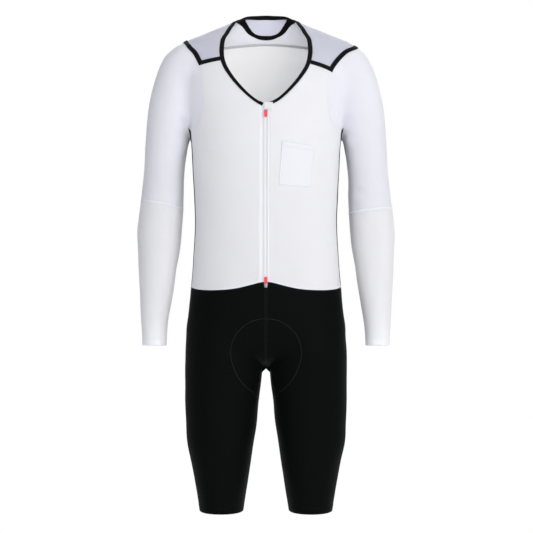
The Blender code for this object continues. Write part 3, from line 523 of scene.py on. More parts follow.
def lay(view, places, sign=1):
    """Points of the form under places drawn in a view, as pairs in metres."""
    a, b = np.array(places, dtype=float).reshape(-1, 2).T
    nought = 0 * a
    if view == "front":
        eye = np.array([0, -VIEW_DISTANCE, VIEW_HEIGHT])
        drawn = np.stack([sign * a, nought, b], axis=-1)
        start = eye + (drawn - eye) * (VIEW_DISTANCE + INSIDE_Y) / VIEW_DISTANCE
        return leave(start, unit(eye - drawn))
    starts = {
        "straight": (sign * a, nought + INSIDE_Y, b),
        "back": (sign * a, BODY.section(b)[1], b),
        "side": (nought, a, b),
        "top": (sign * a, b, nought + BODY_CEILING),
        "under": (sign * a, b, nought + BODY_CEILING),
    }
    ways = {"straight": (0, -1, 0), "back": (0, 1, 0), "side": (sign, 0, 0), "top": (0, 0, 1),
            "under": (0, 0, -1)}
    start = np.stack(starts[view], axis=-1)
    return leave(start, np.tile(np.array(ways[view], dtype=float), (len(start), 1)))


def lay_rows(rows, sign):
    """The points of the form that several seam rows give."""
    return [lay(view, (a * MM, b * MM), sign)[0] for view, a, b in rows]


def resample(knots, steps):
    """Even points along a smooth curve through the knots."""
    knots = np.array(knots)
    along = np.concatenate([[0], np.cumsum(np.linalg.norm(np.diff(knots, axis=0), axis=1))])
    if len(knots) == 2:
        slopes = np.repeat((knots[1:] - knots[:1]) / along[1], 2, axis=0)
    else:
        slopes = np.gradient(knots, along, axis=0, edge_order=2)
    index = np.repeat(np.arange(len(knots) - 1), 40)
    t = np.tile(np.linspace(0, 1, 40, endpoint=False), len(knots) - 1)[:, None]
    span = (along[1:] - along[:-1])[index][:, None]
    fine = np.concatenate([hermite(knots, slopes, index, t, span), knots[-1:]])
    walked = np.concatenate([[0], np.cumsum(np.linalg.norm(np.diff(fine, axis=0), axis=1))])
    wanted = np.linspace(0, walked[-1], steps + 1)
    return np.stack([np.interp(wanted, walked, fine[:, k]) for k in range(3)], axis=1)


def seam(knots, steps, limb, sign):
    """A seam through laid points, with its inner points moved onto the form."""
    points = resample(knots, steps)
    points[1:-1] = from_rays(as_rays(points[1:-1], limb, sign), limb, sign)
    return points


def stretch(top, bottom, first, last, limb, sign):
    """A grid of points on the form between four seams; first and last run from top to bottom."""
    rows, columns = len(first), len(top)
    edges = [as_rays(edge, limb, sign) for edge in (top, bottom, first, last)]
    u = np.linspace(0, 1, columns)[None, :, None]
    v = np.linspace(0, 1, rows)[:, None, None]
    top_rays, bottom_rays = edges[0][None, :, :], edges[1][None, :, :]
    first_rays, last_rays = edges[2][:, None, :], edges[3][:, None, :]
    corners = (
        (1 - u) * (1 - v) * top_rays[:, :1] + u * (1 - v) * top_rays[:, -1:]
        + (1 - u) * v * bottom_rays[:, :1] + u * v * bottom_rays[:, -1:]
    )
    rays = (1 - v) * top_rays + v * bottom_rays + (1 - u) * first_rays + u * last_rays - corners
    grid = np.empty((rows, columns, 3))
    grid[0], grid[-1], grid[:, 0], grid[:, -1] = top, bottom, first, last
    if rows > 2 and columns > 2:
        inner = rays[1:-1, 1:-1].reshape(-1, 4)
        grid[1:-1, 1:-1] = from_rays(inner, limb, sign).reshape(rows - 2, columns - 2, 3)
    return grid


def loft(top, bottom, rows, limb, sign):
    """Points between two seams that run round a limb."""
    v = np.linspace(0, 1, rows + 1)[:, None, None]
    rays = (1 - v) * as_rays(top, limb, sign)[None] + v * as_rays(bottom, limb, sign)[None]
    grid = np.empty((rows + 1, len(top), 3))
    grid[0], grid[-1] = top, bottom
    inner = from_rays(rays[1:-1].reshape(-1, 4), limb, sign)
    grid[1:-1] = inner.reshape(rows - 1, len(top), 3)
    return grid


@lru_cache(maxsize=None)
def side_seams(sign):
    """All seams of one side of the suit, by name, each an array of points."""
    side = LEFT if sign > 0 else RIGHT

    def on(rows, steps, limb, start=(), end=()):
        return seam([*start, *lay_rows(rows, sign), *end], FINE * STEPS[steps], limb, sign)

    neck_point, corner, yoke_end = lay_rows(
        [side["neck_point"], side["yoke_corner"], side["yoke_end"]], sign)
    corners = np.array(lay_rows([("under", x, y) for x, y in UNDERARM], sign))
    underarm = resample(corners, FINE * STEPS["underarm"])
    zip_x = RIGHT_FRONT_EDGE if sign < 0 else LEFT_FRONT_EDGE
    neck_start = lay("front", (abs(zip_x), NECK_START), sign)[0]
    front_armpit, back_armpit = underarm[0], underarm[-1]
    seams = {
        "neck_front": on(NECK_FRONT, "neck_front", "body", [neck_start], [neck_point]),
        "yoke_front": seam([neck_point, corner], FINE * STEPS["yoke_front"], "body", sign),
        "neck_side": on(NECK_SIDE, "neck_side", "body", [neck_point]),
        "neck_tip": on(NECK_TIP, "neck_tip", "body"),
        "shoulder": on(side["shoulder"], "shoulder", "arm", [corner], [yoke_end]),
        "armhole_front": on(side["armhole"], "armhole_front", "body", [corner], [front_armpit]),
        "armhole_back": on(ARMHOLE_BACK, "armhole_back", "body", [yoke_end], [back_armpit]),
        "underarm": underarm,
        "side_front": on(SIDE_SEAM_FRONT, "side", "body", [front_armpit]),
        "side_back": on(SIDE_SEAM_BACK, "side", "body", [back_armpit]),
    }
    front, back = seams["side_front"][-1], seams["side_back"][-1]
    seams["waist_front"] = on(WAIST_FRONT, "waist_front", "body", [front])[::-1]
    seams["waist_side"] = seam([front, *lay_rows(WAIST_SIDE, sign), back],
                               FINE * STEPS["underarm"], "body", sign)
    seams["waist_back"] = seam([back, *lay_rows(WAIST_BACK, sign)],
                               FINE * STEPS["yoke_back"] // 2, "body", sign)
    return seams


@lru_cache(maxsize=None)
def across_back(rows, steps):
    """A back seam that runs from the wearer's right to the left through the centre line."""
    right, left = lay_rows(rows, -1), lay_rows(rows, 1)
    return seam([*right, *left[::-1][1:]], FINE * STEPS[steps], "body", 1)


def ring(heights, angles, limb, sign):
    """A ring of points round a limb, from its inner side over its front to its outer side."""
    turn = np.radians(angles)
    ways = np.stack([-sign * np.cos(turn), -np.sin(turn), 0 * turn], axis=-1)
    heights = heights + 0 * turn
    return leave(AXES[limb][0](heights, sign), ways)


@lru_cache(maxsize=None)
def front_grid(sign):
    """A front, cut back from the centre line to its own edge beside the zip."""
    seams = side_seams(sign)
    edge = RIGHT_FRONT_EDGE if sign < 0 else LEFT_FRONT_EDGE
    bottom = seams["waist_front"].copy()
    widths = np.abs(bottom[:, 0])
    first = int(np.argmax(widths > abs(edge)))
    share = (abs(edge) - widths[first - 1]) / (widths[first] - widths[first - 1])
    corner = bottom[first - 1] + (bottom[first] - bottom[first - 1]) * share
    bottom = resample([corner, *bottom[first:]], len(bottom) - 1)
    top = np.concatenate([seams["neck_front"], seams["yoke_front"][1:]])
    last = np.concatenate([seams["armhole_front"], seams["side_front"][1:]])
    heights = np.linspace(top[0, 2], bottom[0, 2], len(last))
    edge_line = lay("straight", np.stack([np.full(len(last), edge), heights], axis=-1))
    edge_line[0], edge_line[-1] = top[0], bottom[0]
    return stretch(top, bottom, edge_line, last, "body", sign)


@lru_cache(maxsize=None)
def yoke_grid():
    """The yoke, from its inner edge at the neck to its outer one, right front to left front."""
    right, left = side_seams(-1), side_seams(1)
    lower = across_back(INSET_LOWER, "neck_back")
    inner = np.concatenate([right["neck_side"], lower[1:], left["neck_side"][::-1][1:]])
    outer = np.concatenate([right["shoulder"], across_back(YOKE_BACK, "yoke_back")[1:],
                            left["shoulder"][::-1][1:]])
    return stretch(inner, outer, right["yoke_front"], left["yoke_front"], "body", 1)


@lru_cache(maxsize=None)
def sleeve_grids(sign):
    """The upper and the lower sleeve, which open at the seam below the arm."""
    seams = side_seams(sign)
    steps = STEPS["armhole_front"] + STEPS["shoulder"] + STEPS["armhole_back"] + STEPS["underarm"]
    half = FINE * STEPS["underarm"] // 2
    angles = np.linspace(0, 360, FINE * steps + 1)
    underarm = seams["underarm"][::-1]
    armhole = np.concatenate([
        underarm[half:], seams["armhole_front"][::-1][1:], seams["shoulder"][1:],
        seams["armhole_back"][1:], underarm[1:half + 1],
    ])
    high, drop = (LEFT if sign > 0 else RIGHT)["elbow"]
    inward = (1 + np.cos(np.radians(angles))) / 2
    elbow = ring((high - drop * inward ** 1.5) * MM, angles, "arm", sign)
    lean = CUFF_TILT * ARM.section(np.array(CUFF_HEIGHT))[3]
    cuff = ring(CUFF_HEIGHT + lean * np.sin(np.radians(angles)), angles, "arm", sign)
    upper = closer_rows(loft(armhole, elbow, FINE * STEPS["upper_sleeve"], "arm", sign))
    return upper, loft(elbow, cuff, FINE * STEPS["lower_sleeve"], "arm", sign)


def closer_rows(grid):
    """The grid with rows added on the form wherever two rows lie too far apart, then evened out."""
    rows = [grid[0]]
    for above, below in zip(grid[:-1], grid[1:]):
        parts = math.ceil(np.linalg.norm(below - above, axis=1).max() / WIDEST_ROW)
        rows += [above + (below - above) * part / parts for part in range(1, parts)]
        rows.append(below)
    rows = np.stack(rows)
    for _ in range(EVENING_ROUNDS):
        inner = rows[1:EVENED_ROWS]
        around = np.roll(inner[:, :-1], 1, axis=1) + np.roll(inner[:, :-1], -1, axis=1)
        around = np.concatenate([around, around[:, :1]], axis=1)
        middle = (rows[:EVENED_ROWS - 1] + rows[2:EVENED_ROWS + 1] + around) / 4
        rows[1:EVENED_ROWS] = on_form(inner + (middle - inner) * 0.8)[0]
    return rows


def saddle(waist_point, steps):
    """The centre seam from the waist to the crotch, found by rays that fan out from one point."""
    centre = np.array(SADDLE_CENTRE)
    start = waist_point - centre
    begin = math.atan2(-start[2], abs(start[1]))
    turn = np.linspace(begin, math.pi / 2, steps + 1)[1:]
    fan = np.stack([0 * turn, math.copysign(1, start[1]) * np.cos(turn), -np.sin(turn)], axis=-1)
    return np.concatenate([waist_point[None], leave(np.repeat(centre[None], steps, axis=0), fan)])


@lru_cache(maxsize=None)
def shorts_grid(sign):
    """One leg of the shorts, from the front centre seam round to the back centre seam."""
    seams = side_seams(sign)
    top = np.concatenate([seams["waist_front"], seams["waist_side"][1:], seams["waist_back"][1:]])
    steps = FINE * STEPS["crotch"]
    front, back = saddle(top[0], steps), saddle(top[-1], steps)
    back[-1] = front[-1]
    heights = np.linspace(front[-1, 2], HEM_HEIGHT, FINE * STEPS["inseam"] + 1)[1:]
    inseam = ring(heights, 0 * heights, "leg", sign)
    hem = ring(HEM_HEIGHT, np.linspace(0, 360, len(top)), "leg", sign)
    hem[0] = hem[-1] = inseam[-1]
    return stretch(top, hem, np.concatenate([front, inseam]), np.concatenate([back, inseam]),
                   "leg", sign)


@lru_cache(maxsize=None)
def crease_lines():
    """Each crease as points on the form, its width and its depth in metres."""
    lines = []
    for sides, view, *places, width, depth in CREASES:
        for sign in {"both": (-1, 1), "left": (1,), "right": (-1,)}[sides]:
            points = lay(view, np.array(places) * MM, sign)
            lines.append((resample(points, 24), width * MM, depth * MM))
    return lines


def cloth_relief(points):
    """How far creases and the cloth's slight unevenness move points outward."""
    flat = points.reshape(-1, 3)
    moved = np.zeros(len(flat))
    for line, width, depth in crease_lines():
        reach = 3.2 * width
        inside = np.all((flat > line.min(0) - reach) & (flat < line.max(0) + reach), axis=1)
        near = np.nonzero(inside)[0]
        if not len(near):
            continue
        away = np.linalg.norm(flat[near][:, None] - line[None], axis=2)
        place = np.argmin(away, axis=1)
        share = np.minimum(away[np.arange(len(near)), place] / width, 3.2)
        along = place / (len(line) - 1)
        fade = np.clip(4 * along * (1 - along), 0, 1) ** 0.7 * np.clip(4 * (3.2 - share), 0, 1)
        moved[near] += depth * fade * (np.exp(-share ** 2) - 0.4 * np.exp(-(share - 1.9) ** 2))
    x, y, z = flat.T
    waver = np.sin(61 * z + 23 * x + 1.3) * np.sin(47 * x - 19 * z + 31 * y)
    waver += 0.5 * np.sin(103 * z - 37 * y) * np.sin(89 * x + 0.7)
    return (moved + bpy.context.scene.skinsuit_sizes.unevenness * waver).reshape(points.shape[:-1])


def on_cloth(points, lift=0.0):
    """Points moved onto the worn cloth and lifted off it, with its outward directions."""
    step = 0.0004
    slope = np.empty(points.shape)
    for axis in range(3):
        shift = np.zeros(3)
        shift[axis] = step
        slope[..., axis] = outside_form(points + shift) - outside_form(points - shift)
    slope /= 2 * step
    steep = np.maximum(np.sum(slope ** 2, axis=-1, keepdims=True), 0.25)
    points = points - slope * outside_form(points)[..., None] / steep
    normals = unit(slope)
    lift = np.asarray(lift)[..., None] + cloth_relief(points)[..., None]
    return points + normals * lift, normals


def edge_rows(grid, profile):
    """Set a grid's first rows at a profile's distances from the first edge, with their heights."""
    distances, heights = np.array(profile).T * MM
    walked = np.concatenate([
        np.zeros((1, grid.shape[1])),
        np.cumsum(np.linalg.norm(np.diff(grid, axis=0), axis=2), axis=0),
    ])
    wanted = 1.25 * distances[-1]
    kept = int(np.argmax(np.median(walked, axis=1) > wanted))
    rows = np.empty((len(distances), *grid.shape[1:]))
    for column in range(grid.shape[1]):
        room = min(1.0, walked[kept, column] / wanted)
        for axis in range(3):
            rows[:, column, axis] = np.interp(distances * room, walked[:, column],
                                              grid[:, column, axis])
    rest = grid[kept:]
    return np.concatenate([rows, rest]), np.concatenate([heights, np.zeros(len(rest))])


def finish_edges(grid, edges):
    """Add the rows that shape a panel's top, bottom, first and last edges, and their heights."""
    heights = []
    for upright in (False, True):
        work = grid.transpose(1, 0, 2) if upright else grid
        names = ("first", "last") if upright else ("top", "bottom")
        start = np.zeros(0)
        if edges.get(names[0]):
            work, start = edge_rows(work, edges[names[0]])
        end = np.zeros(0)
        if edges.get(names[1]):
            work, end = edge_rows(work[::-1], edges[names[1]])
            work = work[::-1]
        line = np.zeros(len(work))
        line[:len(start)] += start
        if len(end):
            line[::-1][:len(end)] += end
        heights.append(line)
        grid = work.transpose(1, 0, 2) if upright else work
    rows, columns = heights[0][:, None], heights[1][None, :]
    return grid, np.where(np.abs(rows) > np.abs(columns), rows, columns)


def grid_faces(rows, columns, start=0, flip=False):
    """Four-cornered faces of a grid of numbered points."""
    index = start + np.arange(rows * columns).reshape(rows, columns)
    faces = np.stack([index[:-1, :-1], index[:-1, 1:], index[1:, 1:], index[1:, :-1]], axis=-1)
    faces = faces.reshape(-1, 4)
    return faces[:, ::-1] if flip else faces


def mesh_object(name, points, faces, material, uv=None):
    """An object from points and faces, smooth but for its sharp edges."""
    mesh = bpy.data.meshes.new(name)
    mesh.from_pydata(points.reshape(-1, 3).tolist(), [], [list(map(int, f)) for f in faces])
    if uv is not None:
        layer = mesh.uv_layers.new(name="cloth")
        loops = np.empty(len(mesh.loops), dtype=np.int32)
        mesh.loops.foreach_get("vertex_index", loops)
        layer.data.foreach_set("uv", uv.reshape(-1, 2)[loops].ravel())
    mesh.shade_smooth()
    mesh.set_sharp_from_angle(angle=math.radians(SHARP_ANGLE))
    mesh.materials.append(material)
    thing = bpy.data.objects.new(name, mesh)
    bpy.context.scene.collection.objects.link(thing)
    return thing


def dress(thing, slot, *nodes, body=BODY_NAME):
    """Let a piece ride with a body and stand for solids; the slot is not used."""
    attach(thing, body)
    if nodes:
        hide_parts(*nodes)
    return thing


def shell(name, outer, inner, material, reverse):
    """A closed thin wall between two grids of points, with a map of the cloth in metres."""
    rows, columns = outer.shape[:2]
    count = rows * columns
    across = np.linalg.norm(np.diff(outer, axis=1), axis=2).mean(axis=0)
    down = np.linalg.norm(np.diff(outer, axis=0), axis=2).mean(axis=1)
    u = np.concatenate([[0], np.cumsum(across)])
    v = np.concatenate([[0], np.cumsum(down)])
    uv = np.stack(np.meshgrid(u, v), axis=-1)
    index = np.arange(count).reshape(rows, columns)
    rim = np.concatenate([index[0], index[1:, -1], index[-1, ::-1][1:], index[::-1, 0][1:]])
    walls = np.stack([rim[:-1], rim[:-1] + count, rim[1:] + count, rim[1:]], axis=-1)
    faces = np.concatenate([grid_faces(rows, columns), grid_faces(rows, columns, count, True),
                            walls])
    points = np.stack([outer, inner])
    thing = mesh_object(name, points, faces, material, np.stack([uv, uv]))
    turn_outward(thing)
    if reverse:
        thing.data.materials.append(reverse)
        sheet = (rows - 1) * (columns - 1)
        sides = np.repeat([0, 1, 0], [sheet, sheet, len(faces) - 2 * sheet])
        thing.data.polygons.foreach_set("material_index", sides.astype(np.int32))
    return thing


def turn_outward(thing):
    """Give a closed mesh faces that point out of it."""
    work = bmesh.new()
    work.from_mesh(thing.data)
    bmesh.ops.recalc_face_normals(work, faces=work.faces)
    work.to_mesh(thing.data)
    work.free()


def panel(name, grid, material, slot, edges, lift=0.0, thickness=None, reverse=None):
    """A piece of worn cloth with creases and shaped edges, in place of its solid."""
    sizes = bpy.context.scene.skinsuit_sizes
    grid, heights = finish_edges(grid, edges)
    normals = form_normals(grid)
    base = grid + normals * (lift + cloth_relief(grid))[..., None]
    outer = base + normals * heights[..., None]
    inner = base - normals * (thickness or sizes.cloth)
    thing = dress(shell(f"sewn_{name}", outer, inner, material, reverse), slot, name)
    return thing


def side_ways(path, normals):
    """Directions across a path on the cloth, lengthened where the path turns a corner."""
    along = unit(np.diff(path, axis=0))
    middle = unit(normals[1:] + normals[:-1])
    ways = unit(np.cross(along, middle))
    both = np.concatenate([ways[:1], unit(ways[1:] + ways[:-1]), ways[-1:]])
    fit = np.concatenate([[1], np.sum(both[1:-1] * ways[1:], axis=1), [1]])
    return both / np.maximum(fit, 0.5)[:, None]


def sweep(name, path, profile, material, widths=1.0):
    """A solid strip along a path on the cloth, from pairs of place across and height."""
    profile = np.array(profile) * MM
    reach = profile[None, :, 0] * np.broadcast_to(widths, len(path))[:, None]
    _, normals = on_cloth(path)
    across = side_ways(path, normals)
    spots = path[:, None] + across[:, None] * reach[..., None]
    points, _ = on_cloth(spots, np.broadcast_to(profile[:, 1], spots.shape[:2]))
    rows, columns = points.shape[:2]
    index = np.arange(rows * columns).reshape(rows, columns)
    index = np.concatenate([index, index[:, :1]], axis=1)
    sides = np.stack([index[:-1, :-1], index[:-1, 1:], index[1:, 1:], index[1:, :-1]], axis=-1)
    faces = sides.reshape(-1, 4).tolist() + [index[0, :-1].tolist(), index[-1, :-1][::-1].tolist()]
    walked = np.concatenate([[0], np.cumsum(np.linalg.norm(np.diff(path, axis=0), axis=1))])
    round_it = np.concatenate([[0], np.cumsum(np.linalg.norm(np.diff(profile, axis=0), axis=1))])
    uv = np.stack(np.meshgrid(round_it, walked), axis=-1)
    thing = mesh_object(name, points, faces, material, uv)
    turn_outward(thing)
    return thing


def rounded(first, last, low, high, corner, steps=3):
    """A flat cross-section with round upper corners, in millimetres."""
    turns = np.linspace(0, math.pi / 2, steps + 1)
    left = [(first + corner - corner * math.cos(t), high - corner + corner * math.sin(t))
            for t in turns]
    right = [(last - corner + corner * math.cos(t), high - corner + corner * math.sin(t))
             for t in turns[::-1]]
    middle = [((first + last) / 2, high)]
    return [(first, low), *left, *middle, *right, (last, low), ((first + last) / 2, low)]


def even(path, spacing):
    """Points at an even spacing along a path of straight pieces."""
    walked = np.concatenate([[0], np.cumsum(np.linalg.norm(np.diff(path, axis=0), axis=1))])
    wanted = np.linspace(0, walked[-1], max(2, int(round(walked[-1] / spacing)) + 1))
    return np.stack([np.interp(wanted, walked, path[:, k]) for k in range(3)], axis=1)


def running_stitches(path, offset, lift=0.0):
    """Starts, ends and directions of a row of straight stitches beside a path."""
    sizes = bpy.context.scene.skinsuit_sizes
    points = even(path, sizes.stitch / 2)
    _, normals = on_cloth(points)
    points = even(points + side_ways(points, normals) * offset, sizes.stitch / 2)
    points, normals = on_cloth(points, lift)
    starts, ends = points[:-2:2], points[2::2]
    return starts, starts + (ends - starts) * STITCH_SHARE, normals[:-2:2]


def cover_stitches(path, width, lift):
    """Starts, ends and directions of a zigzag of threads over a seam."""
    sizes = bpy.context.scene.skinsuit_sizes
    points = even(path, sizes.stitch * COVER_SHARE)
    _, normals = on_cloth(points)
    swing = np.where(np.arange(len(points)) % 2, 0.5, -0.5) * width
    points, normals = on_cloth(points + side_ways(points, normals) * swing[:, None], lift)
    return points[:-1], points[1:], normals[:-1]


def thread_object(name, rows, material, slot):
    """All the threads of some rows of stitches, as one mesh of thin tapered tubes."""
    radius = bpy.context.scene.skinsuit_sizes.thread / 2
    starts, ends, normals = (np.concatenate(part) for part in zip(*rows))
    along = unit(ends - starts)
    side = unit(np.cross(along, normals))
    up = np.cross(side, along)
    turns = np.arange(5) * 2 * math.pi / 5 + math.pi / 2
    rings = []
    for share, thick, sink in ((0.0, 0.35, 0.9), (0.16, 1.0, 0.0), (0.84, 1.0, 0.0),
                               (1.0, 0.35, 0.9)):
        centre = starts + (ends - starts) * share - up * radius * sink
        ring_points = [centre + (side * math.cos(t) + up * math.sin(t)) * radius * thick
                       for t in turns]
        rings.append(np.stack(ring_points, axis=1))
    points = np.stack(rings, axis=1)
    one = []
    for r in range(3):
        for k in range(5):
            other = (k + 1) % 5
            one.append([5 * r + k, 5 * r + other, 5 * r + 5 + other, 5 * r + 5 + k])
    caps = [[4, 3, 2, 1, 0], [15, 16, 17, 18, 19]]
    count = len(starts)
    base = (20 * np.arange(count))[:, None, None]
    faces = (np.array(one)[None] + base).reshape(-1, 4).tolist()
    faces += (np.array(caps)[None] + base).reshape(-1, 5).tolist()
    thing = mesh_object(name, points, faces, material)
    turn_outward(thing)
    return dress(thing, slot)


# Edge profiles in millimetres: way in from the edge, height above the panel
SEWN = ((0.0, -0.3), (0.6, -0.12), (1.4, -0.02), (2.4, 0.0))
ALL_SEWN = {"top": SEWN, "bottom": SEWN, "first": SEWN, "last": SEWN}
ZIP_FOLD = ((0.0, -0.3), (0.35, 0.3), (1.0, 0.62), (2.4, 0.68), (3.8, 0.5), (4.7, 0.05), (5.2, -0.2),
            (5.9, 0.12), (7.2, 0.16), (9.0, 0.05), (11.0, 0.0))
ZIP_RIDGE = ((0.0, -0.3), (0.4, 0.12), (1.2, 0.28), (2.3, 0.32), (3.4, 0.66), (4.5, 0.98), (5.4, 0.92),
             (7.4, 0.34), (9.4, 0.06), (11.4, 0.0))
HEM = ((0.0, -0.25), (0.4, 0.15), (1.2, 0.32), (4.5, 0.3), (8.6, 0.3), (9.6, 0.02), (10.4, 0.1),
       (12.5, 0.0))
LEG_HEM = ((0.0, -0.3), (0.5, 0.2), (1.6, 0.42), (6.0, 0.4), (12.6, 0.4), (13.6, 0.05), (14.5, 0.12),
           (17.0, 0.0))
UNDER_BINDING = ((0.0, -0.6), (1.0, -0.5), (2.2, -0.15), (3.5, 0.0))


def make_fronts():
    """Both fronts, with folded and topstitched edges beside the zip."""
    for sign, name, fold in ((-1, "right", ZIP_RIDGE), (1, "left", ZIP_FOLD)):
        edges = {**ALL_SEWN, "top": UNDER_BINDING, "first": fold}
        panel(f"front_{name}", front_grid(sign), white_knit(), "white_cloth", edges,
              reverse=white_reverse_painted_light())


def make_back():
    """The back panel between the yoke, the side panels and the shorts."""
    right, left = side_seams(-1), side_seams(1)
    top = across_back(YOKE_BACK, "yoke_back")
    bottom = np.concatenate([right["waist_back"], left["waist_back"][::-1][1:]])
    first = np.concatenate([right["armhole_back"], right["side_back"][1:]])
    last = np.concatenate([left["armhole_back"], left["side_back"][1:]])
    grid = stretch(top, bottom, first, last, "body", 1)
    panel("back", grid, white_knit(), "white_cloth", ALL_SEWN, reverse=white_reverse_painted_light())


def make_side_panels():
    """The narrow mesh panels below the arms."""
    for sign, name in ((-1, "right"), (1, "left")):
        seams = side_seams(sign)
        grid = stretch(seams["underarm"], seams["waist_side"], seams["side_front"],
                       seams["side_back"], "body", sign)
        panel(f"side_{name}", grid, side_mesh(), "side_mesh", ALL_SEWN)


def make_yoke():
    """The yoke over both shoulders, and the half-moon at the back of the neck."""
    panel("yoke", yoke_grid(), yoke_knit(), "yoke_cloth", {**ALL_SEWN, "top": UNDER_BINDING},
          reverse=yoke_reverse_painted_light())
    neck_top = across_back(NECK_BACK, "neck_back")
    upper = across_back(INSET_UPPER, "neck_back")
    share = np.linspace(0, 1, 9)[:, None, None]
    grid, _ = on_form((1 - share) * neck_top + share * upper)
    panel("back_neck", grid, yoke_knit(), "yoke_cloth", {"bottom": SEWN})


def on_form(points):
    """Points moved onto the bare form."""
    lifted, normals = on_cloth(points)
    return lifted - normals * cloth_relief(lifted)[..., None], normals


def tape_line(seams):
    """The middle of a shoulder tape, with no points crowded round its corner."""
    turn = len(seams["yoke_front"]) - 1
    line = np.concatenate([seams["yoke_front"], seams["shoulder"][1:]])
    clear = np.linalg.norm(line - line[turn], axis=1) > TAPE_CORNER
    clear[turn] = True
    return line[clear]


def armhole_line(seams):
    """The whole armhole seam, from the front under the arm to the back."""
    return np.concatenate([seams["armhole_front"], seams["underarm"][1:],
                           seams["armhole_back"][::-1][1:]])


def make_tapes():
    """The flat black tapes on the shoulder seams, and the one let in below the half-moon."""
    for sign, name in ((-1, "right"), (1, "left")):
        seams = side_seams(sign)
        profile = rounded(-TAPE_HALF, TAPE_HALF, 0.1, 1.0, 0.4)
        tape = sweep(f"sewn_shoulder_tape_{name}", tape_line(seams), profile, black_tape())
        dress(tape, "black_binding", f"shoulder_tape_{name}")
    upper = across_back(INSET_UPPER, "neck_back")
    lower = across_back(INSET_LOWER, "neck_back")
    share = np.linspace(-0.05, 1.05, 9)[:, None, None]
    grid, _ = on_form((1 - share) * upper + share * lower)
    panel("neck_tape", grid, black_tape(), "black_binding", {}, lift=0.35 * MM,
          thickness=1.75 * MM)


def neckline():
    """The whole neckline, from the zip round the back of the neck to the zip again."""
    right, left = side_seams(-1), side_seams(1)
    return np.concatenate([
        right["neck_front"], right["neck_side"][1:], right["neck_tip"][1:],
        across_back(NECK_BACK, "neck_back")[1:],
        left["neck_tip"][::-1][1:], left["neck_side"][::-1][1:], left["neck_front"][::-1][1:],
    ])


def make_neck_binding():
    """The folded binding round the neck, plump and round at its edges."""
    path = even(neckline(), 4 * MM)
    first, last = -0.3, BINDING_WIDTHS[1] / MM
    inner = [(last - 0.4, -1.3), (last - 1.4, -1.7), (4.0, -1.8), (0.8, -1.7), (first, -1.4)]
    outer = rounded(first, last, -0.6, 0.75, 1.1, 4)[:-1]
    widths = np.interp(path[:, 2], BINDING_HEIGHTS, BINDING_WIDTHS) / BINDING_WIDTHS[1]
    binding = sweep("sewn_neck_binding", path, [*outer, *inner], black_tape(), widths)
    dress(binding, "black_binding", "neck_binding")
    end = sweep("binding_end", path[:3], rounded(-0.6, 9.6, -0.4, 1.9, 1.1), black_tape(),
                BINDING_WIDTHS[0] / BINDING_WIDTHS[1])
    dress(end, "black_binding")


def make_sleeves():
    """Upper and lower sleeves, with an elbow seam between them and a hem at the cuff."""
    for sign, name in ((-1, "right"), (1, "left")):
        upper, lower = sleeve_grids(sign)
        panel(f"sleeve_upper_{name}", upper, shaded_sleeve_knit(), "white_cloth", ALL_SEWN,
              reverse=white_reverse_painted_light())
        panel(f"sleeve_lower_{name}", lower, white_knit(), "white_cloth",
              {**ALL_SEWN, "bottom": HEM}, reverse=white_reverse_painted_light())


def make_shorts():
    """Both legs of the shorts, with centre seams, inseams and deep hems."""
    for sign, name in ((-1, "right"), (1, "left")):
        panel(f"shorts_{name}", shorts_grid(sign), black_knit(), "black_cloth",
              {**ALL_SEWN, "bottom": LEG_HEM})


def patch(corners, columns, rows):
    """Points of the form under a four-cornered patch on the front drawing, corners in order."""
    a, b, c, d = np.array(corners, dtype=float) * MM
    u = np.linspace(0, 1, columns + 1)[None, :, None]
    v = np.linspace(0, 1, rows + 1)[:, None, None]
    places = (1 - v) * ((1 - u) * a + u * b) + v * ((1 - u) * d + u * c)
    return lay("front", places).reshape(rows + 1, columns + 1, 3)


def make_pocket():
    """The flat chest pocket, stitched on three sides, with a hem along its open top."""
    side = ((0.0, -0.75), (0.4, -0.2), (1.0, 0.05), (2.2, -0.1), (3.0, 0.0))
    top = ((0.0, 0.1), (0.4, 0.65), (1.2, 0.8), (9.0, 0.75), (10.2, 0.1), (11.5, 0.05), (14.0, 0.0))
    grid = patch(POCKET_CORNERS, 24, 26)
    panel("pocket", grid, pocket_knit(), "white_cloth",
          {"top": top, "bottom": side, "first": side, "last": side}, lift=0.9 * MM,
          thickness=0.7 * MM)


def make_zip():
    """The zip's woven tapes, its two interlocked rows of coil and the cover at its top."""
    top = neckline()[0][2]
    heights = np.linspace(top, ZIP_END, 90)
    coil_right, coil_left = CHAIN_EDGES
    middle = (coil_right + coil_left) / 2
    for name, low, high in (("right", RIGHT_FRONT_EDGE - ZIP_TAPE_HIDDEN, middle - 0.1 * MM),
                            ("left", middle + 0.1 * MM, LEFT_FRONT_EDGE + ZIP_TAPE_HIDDEN)):
        columns = np.linspace(low, high, 7)
        places = np.stack(np.meshgrid(columns, heights), axis=-1)
        grid = lay("straight", places).reshape(len(heights), len(columns), 3)
        panel(f"zip_tape_{name}", grid, tape_weave(), "zip_tape", {}, lift=-1.35 * MM,
              thickness=0.6 * MM)
    make_coil(top)
    garage = patch(GARAGE_CORNERS, 12, 12)
    edge = ((0.0, -0.9), (0.3, -0.2), (0.8, 0.2), (1.6, 0.3), (2.4, 0.05), (3.2, 0.15), (4.5, 0.2))
    panel("zip_garage", garage, white_knit(), "white_cloth",
          {"top": edge, "bottom": edge, "first": edge, "last": edge}, lift=1.2 * MM,
          thickness=1.0 * MM)


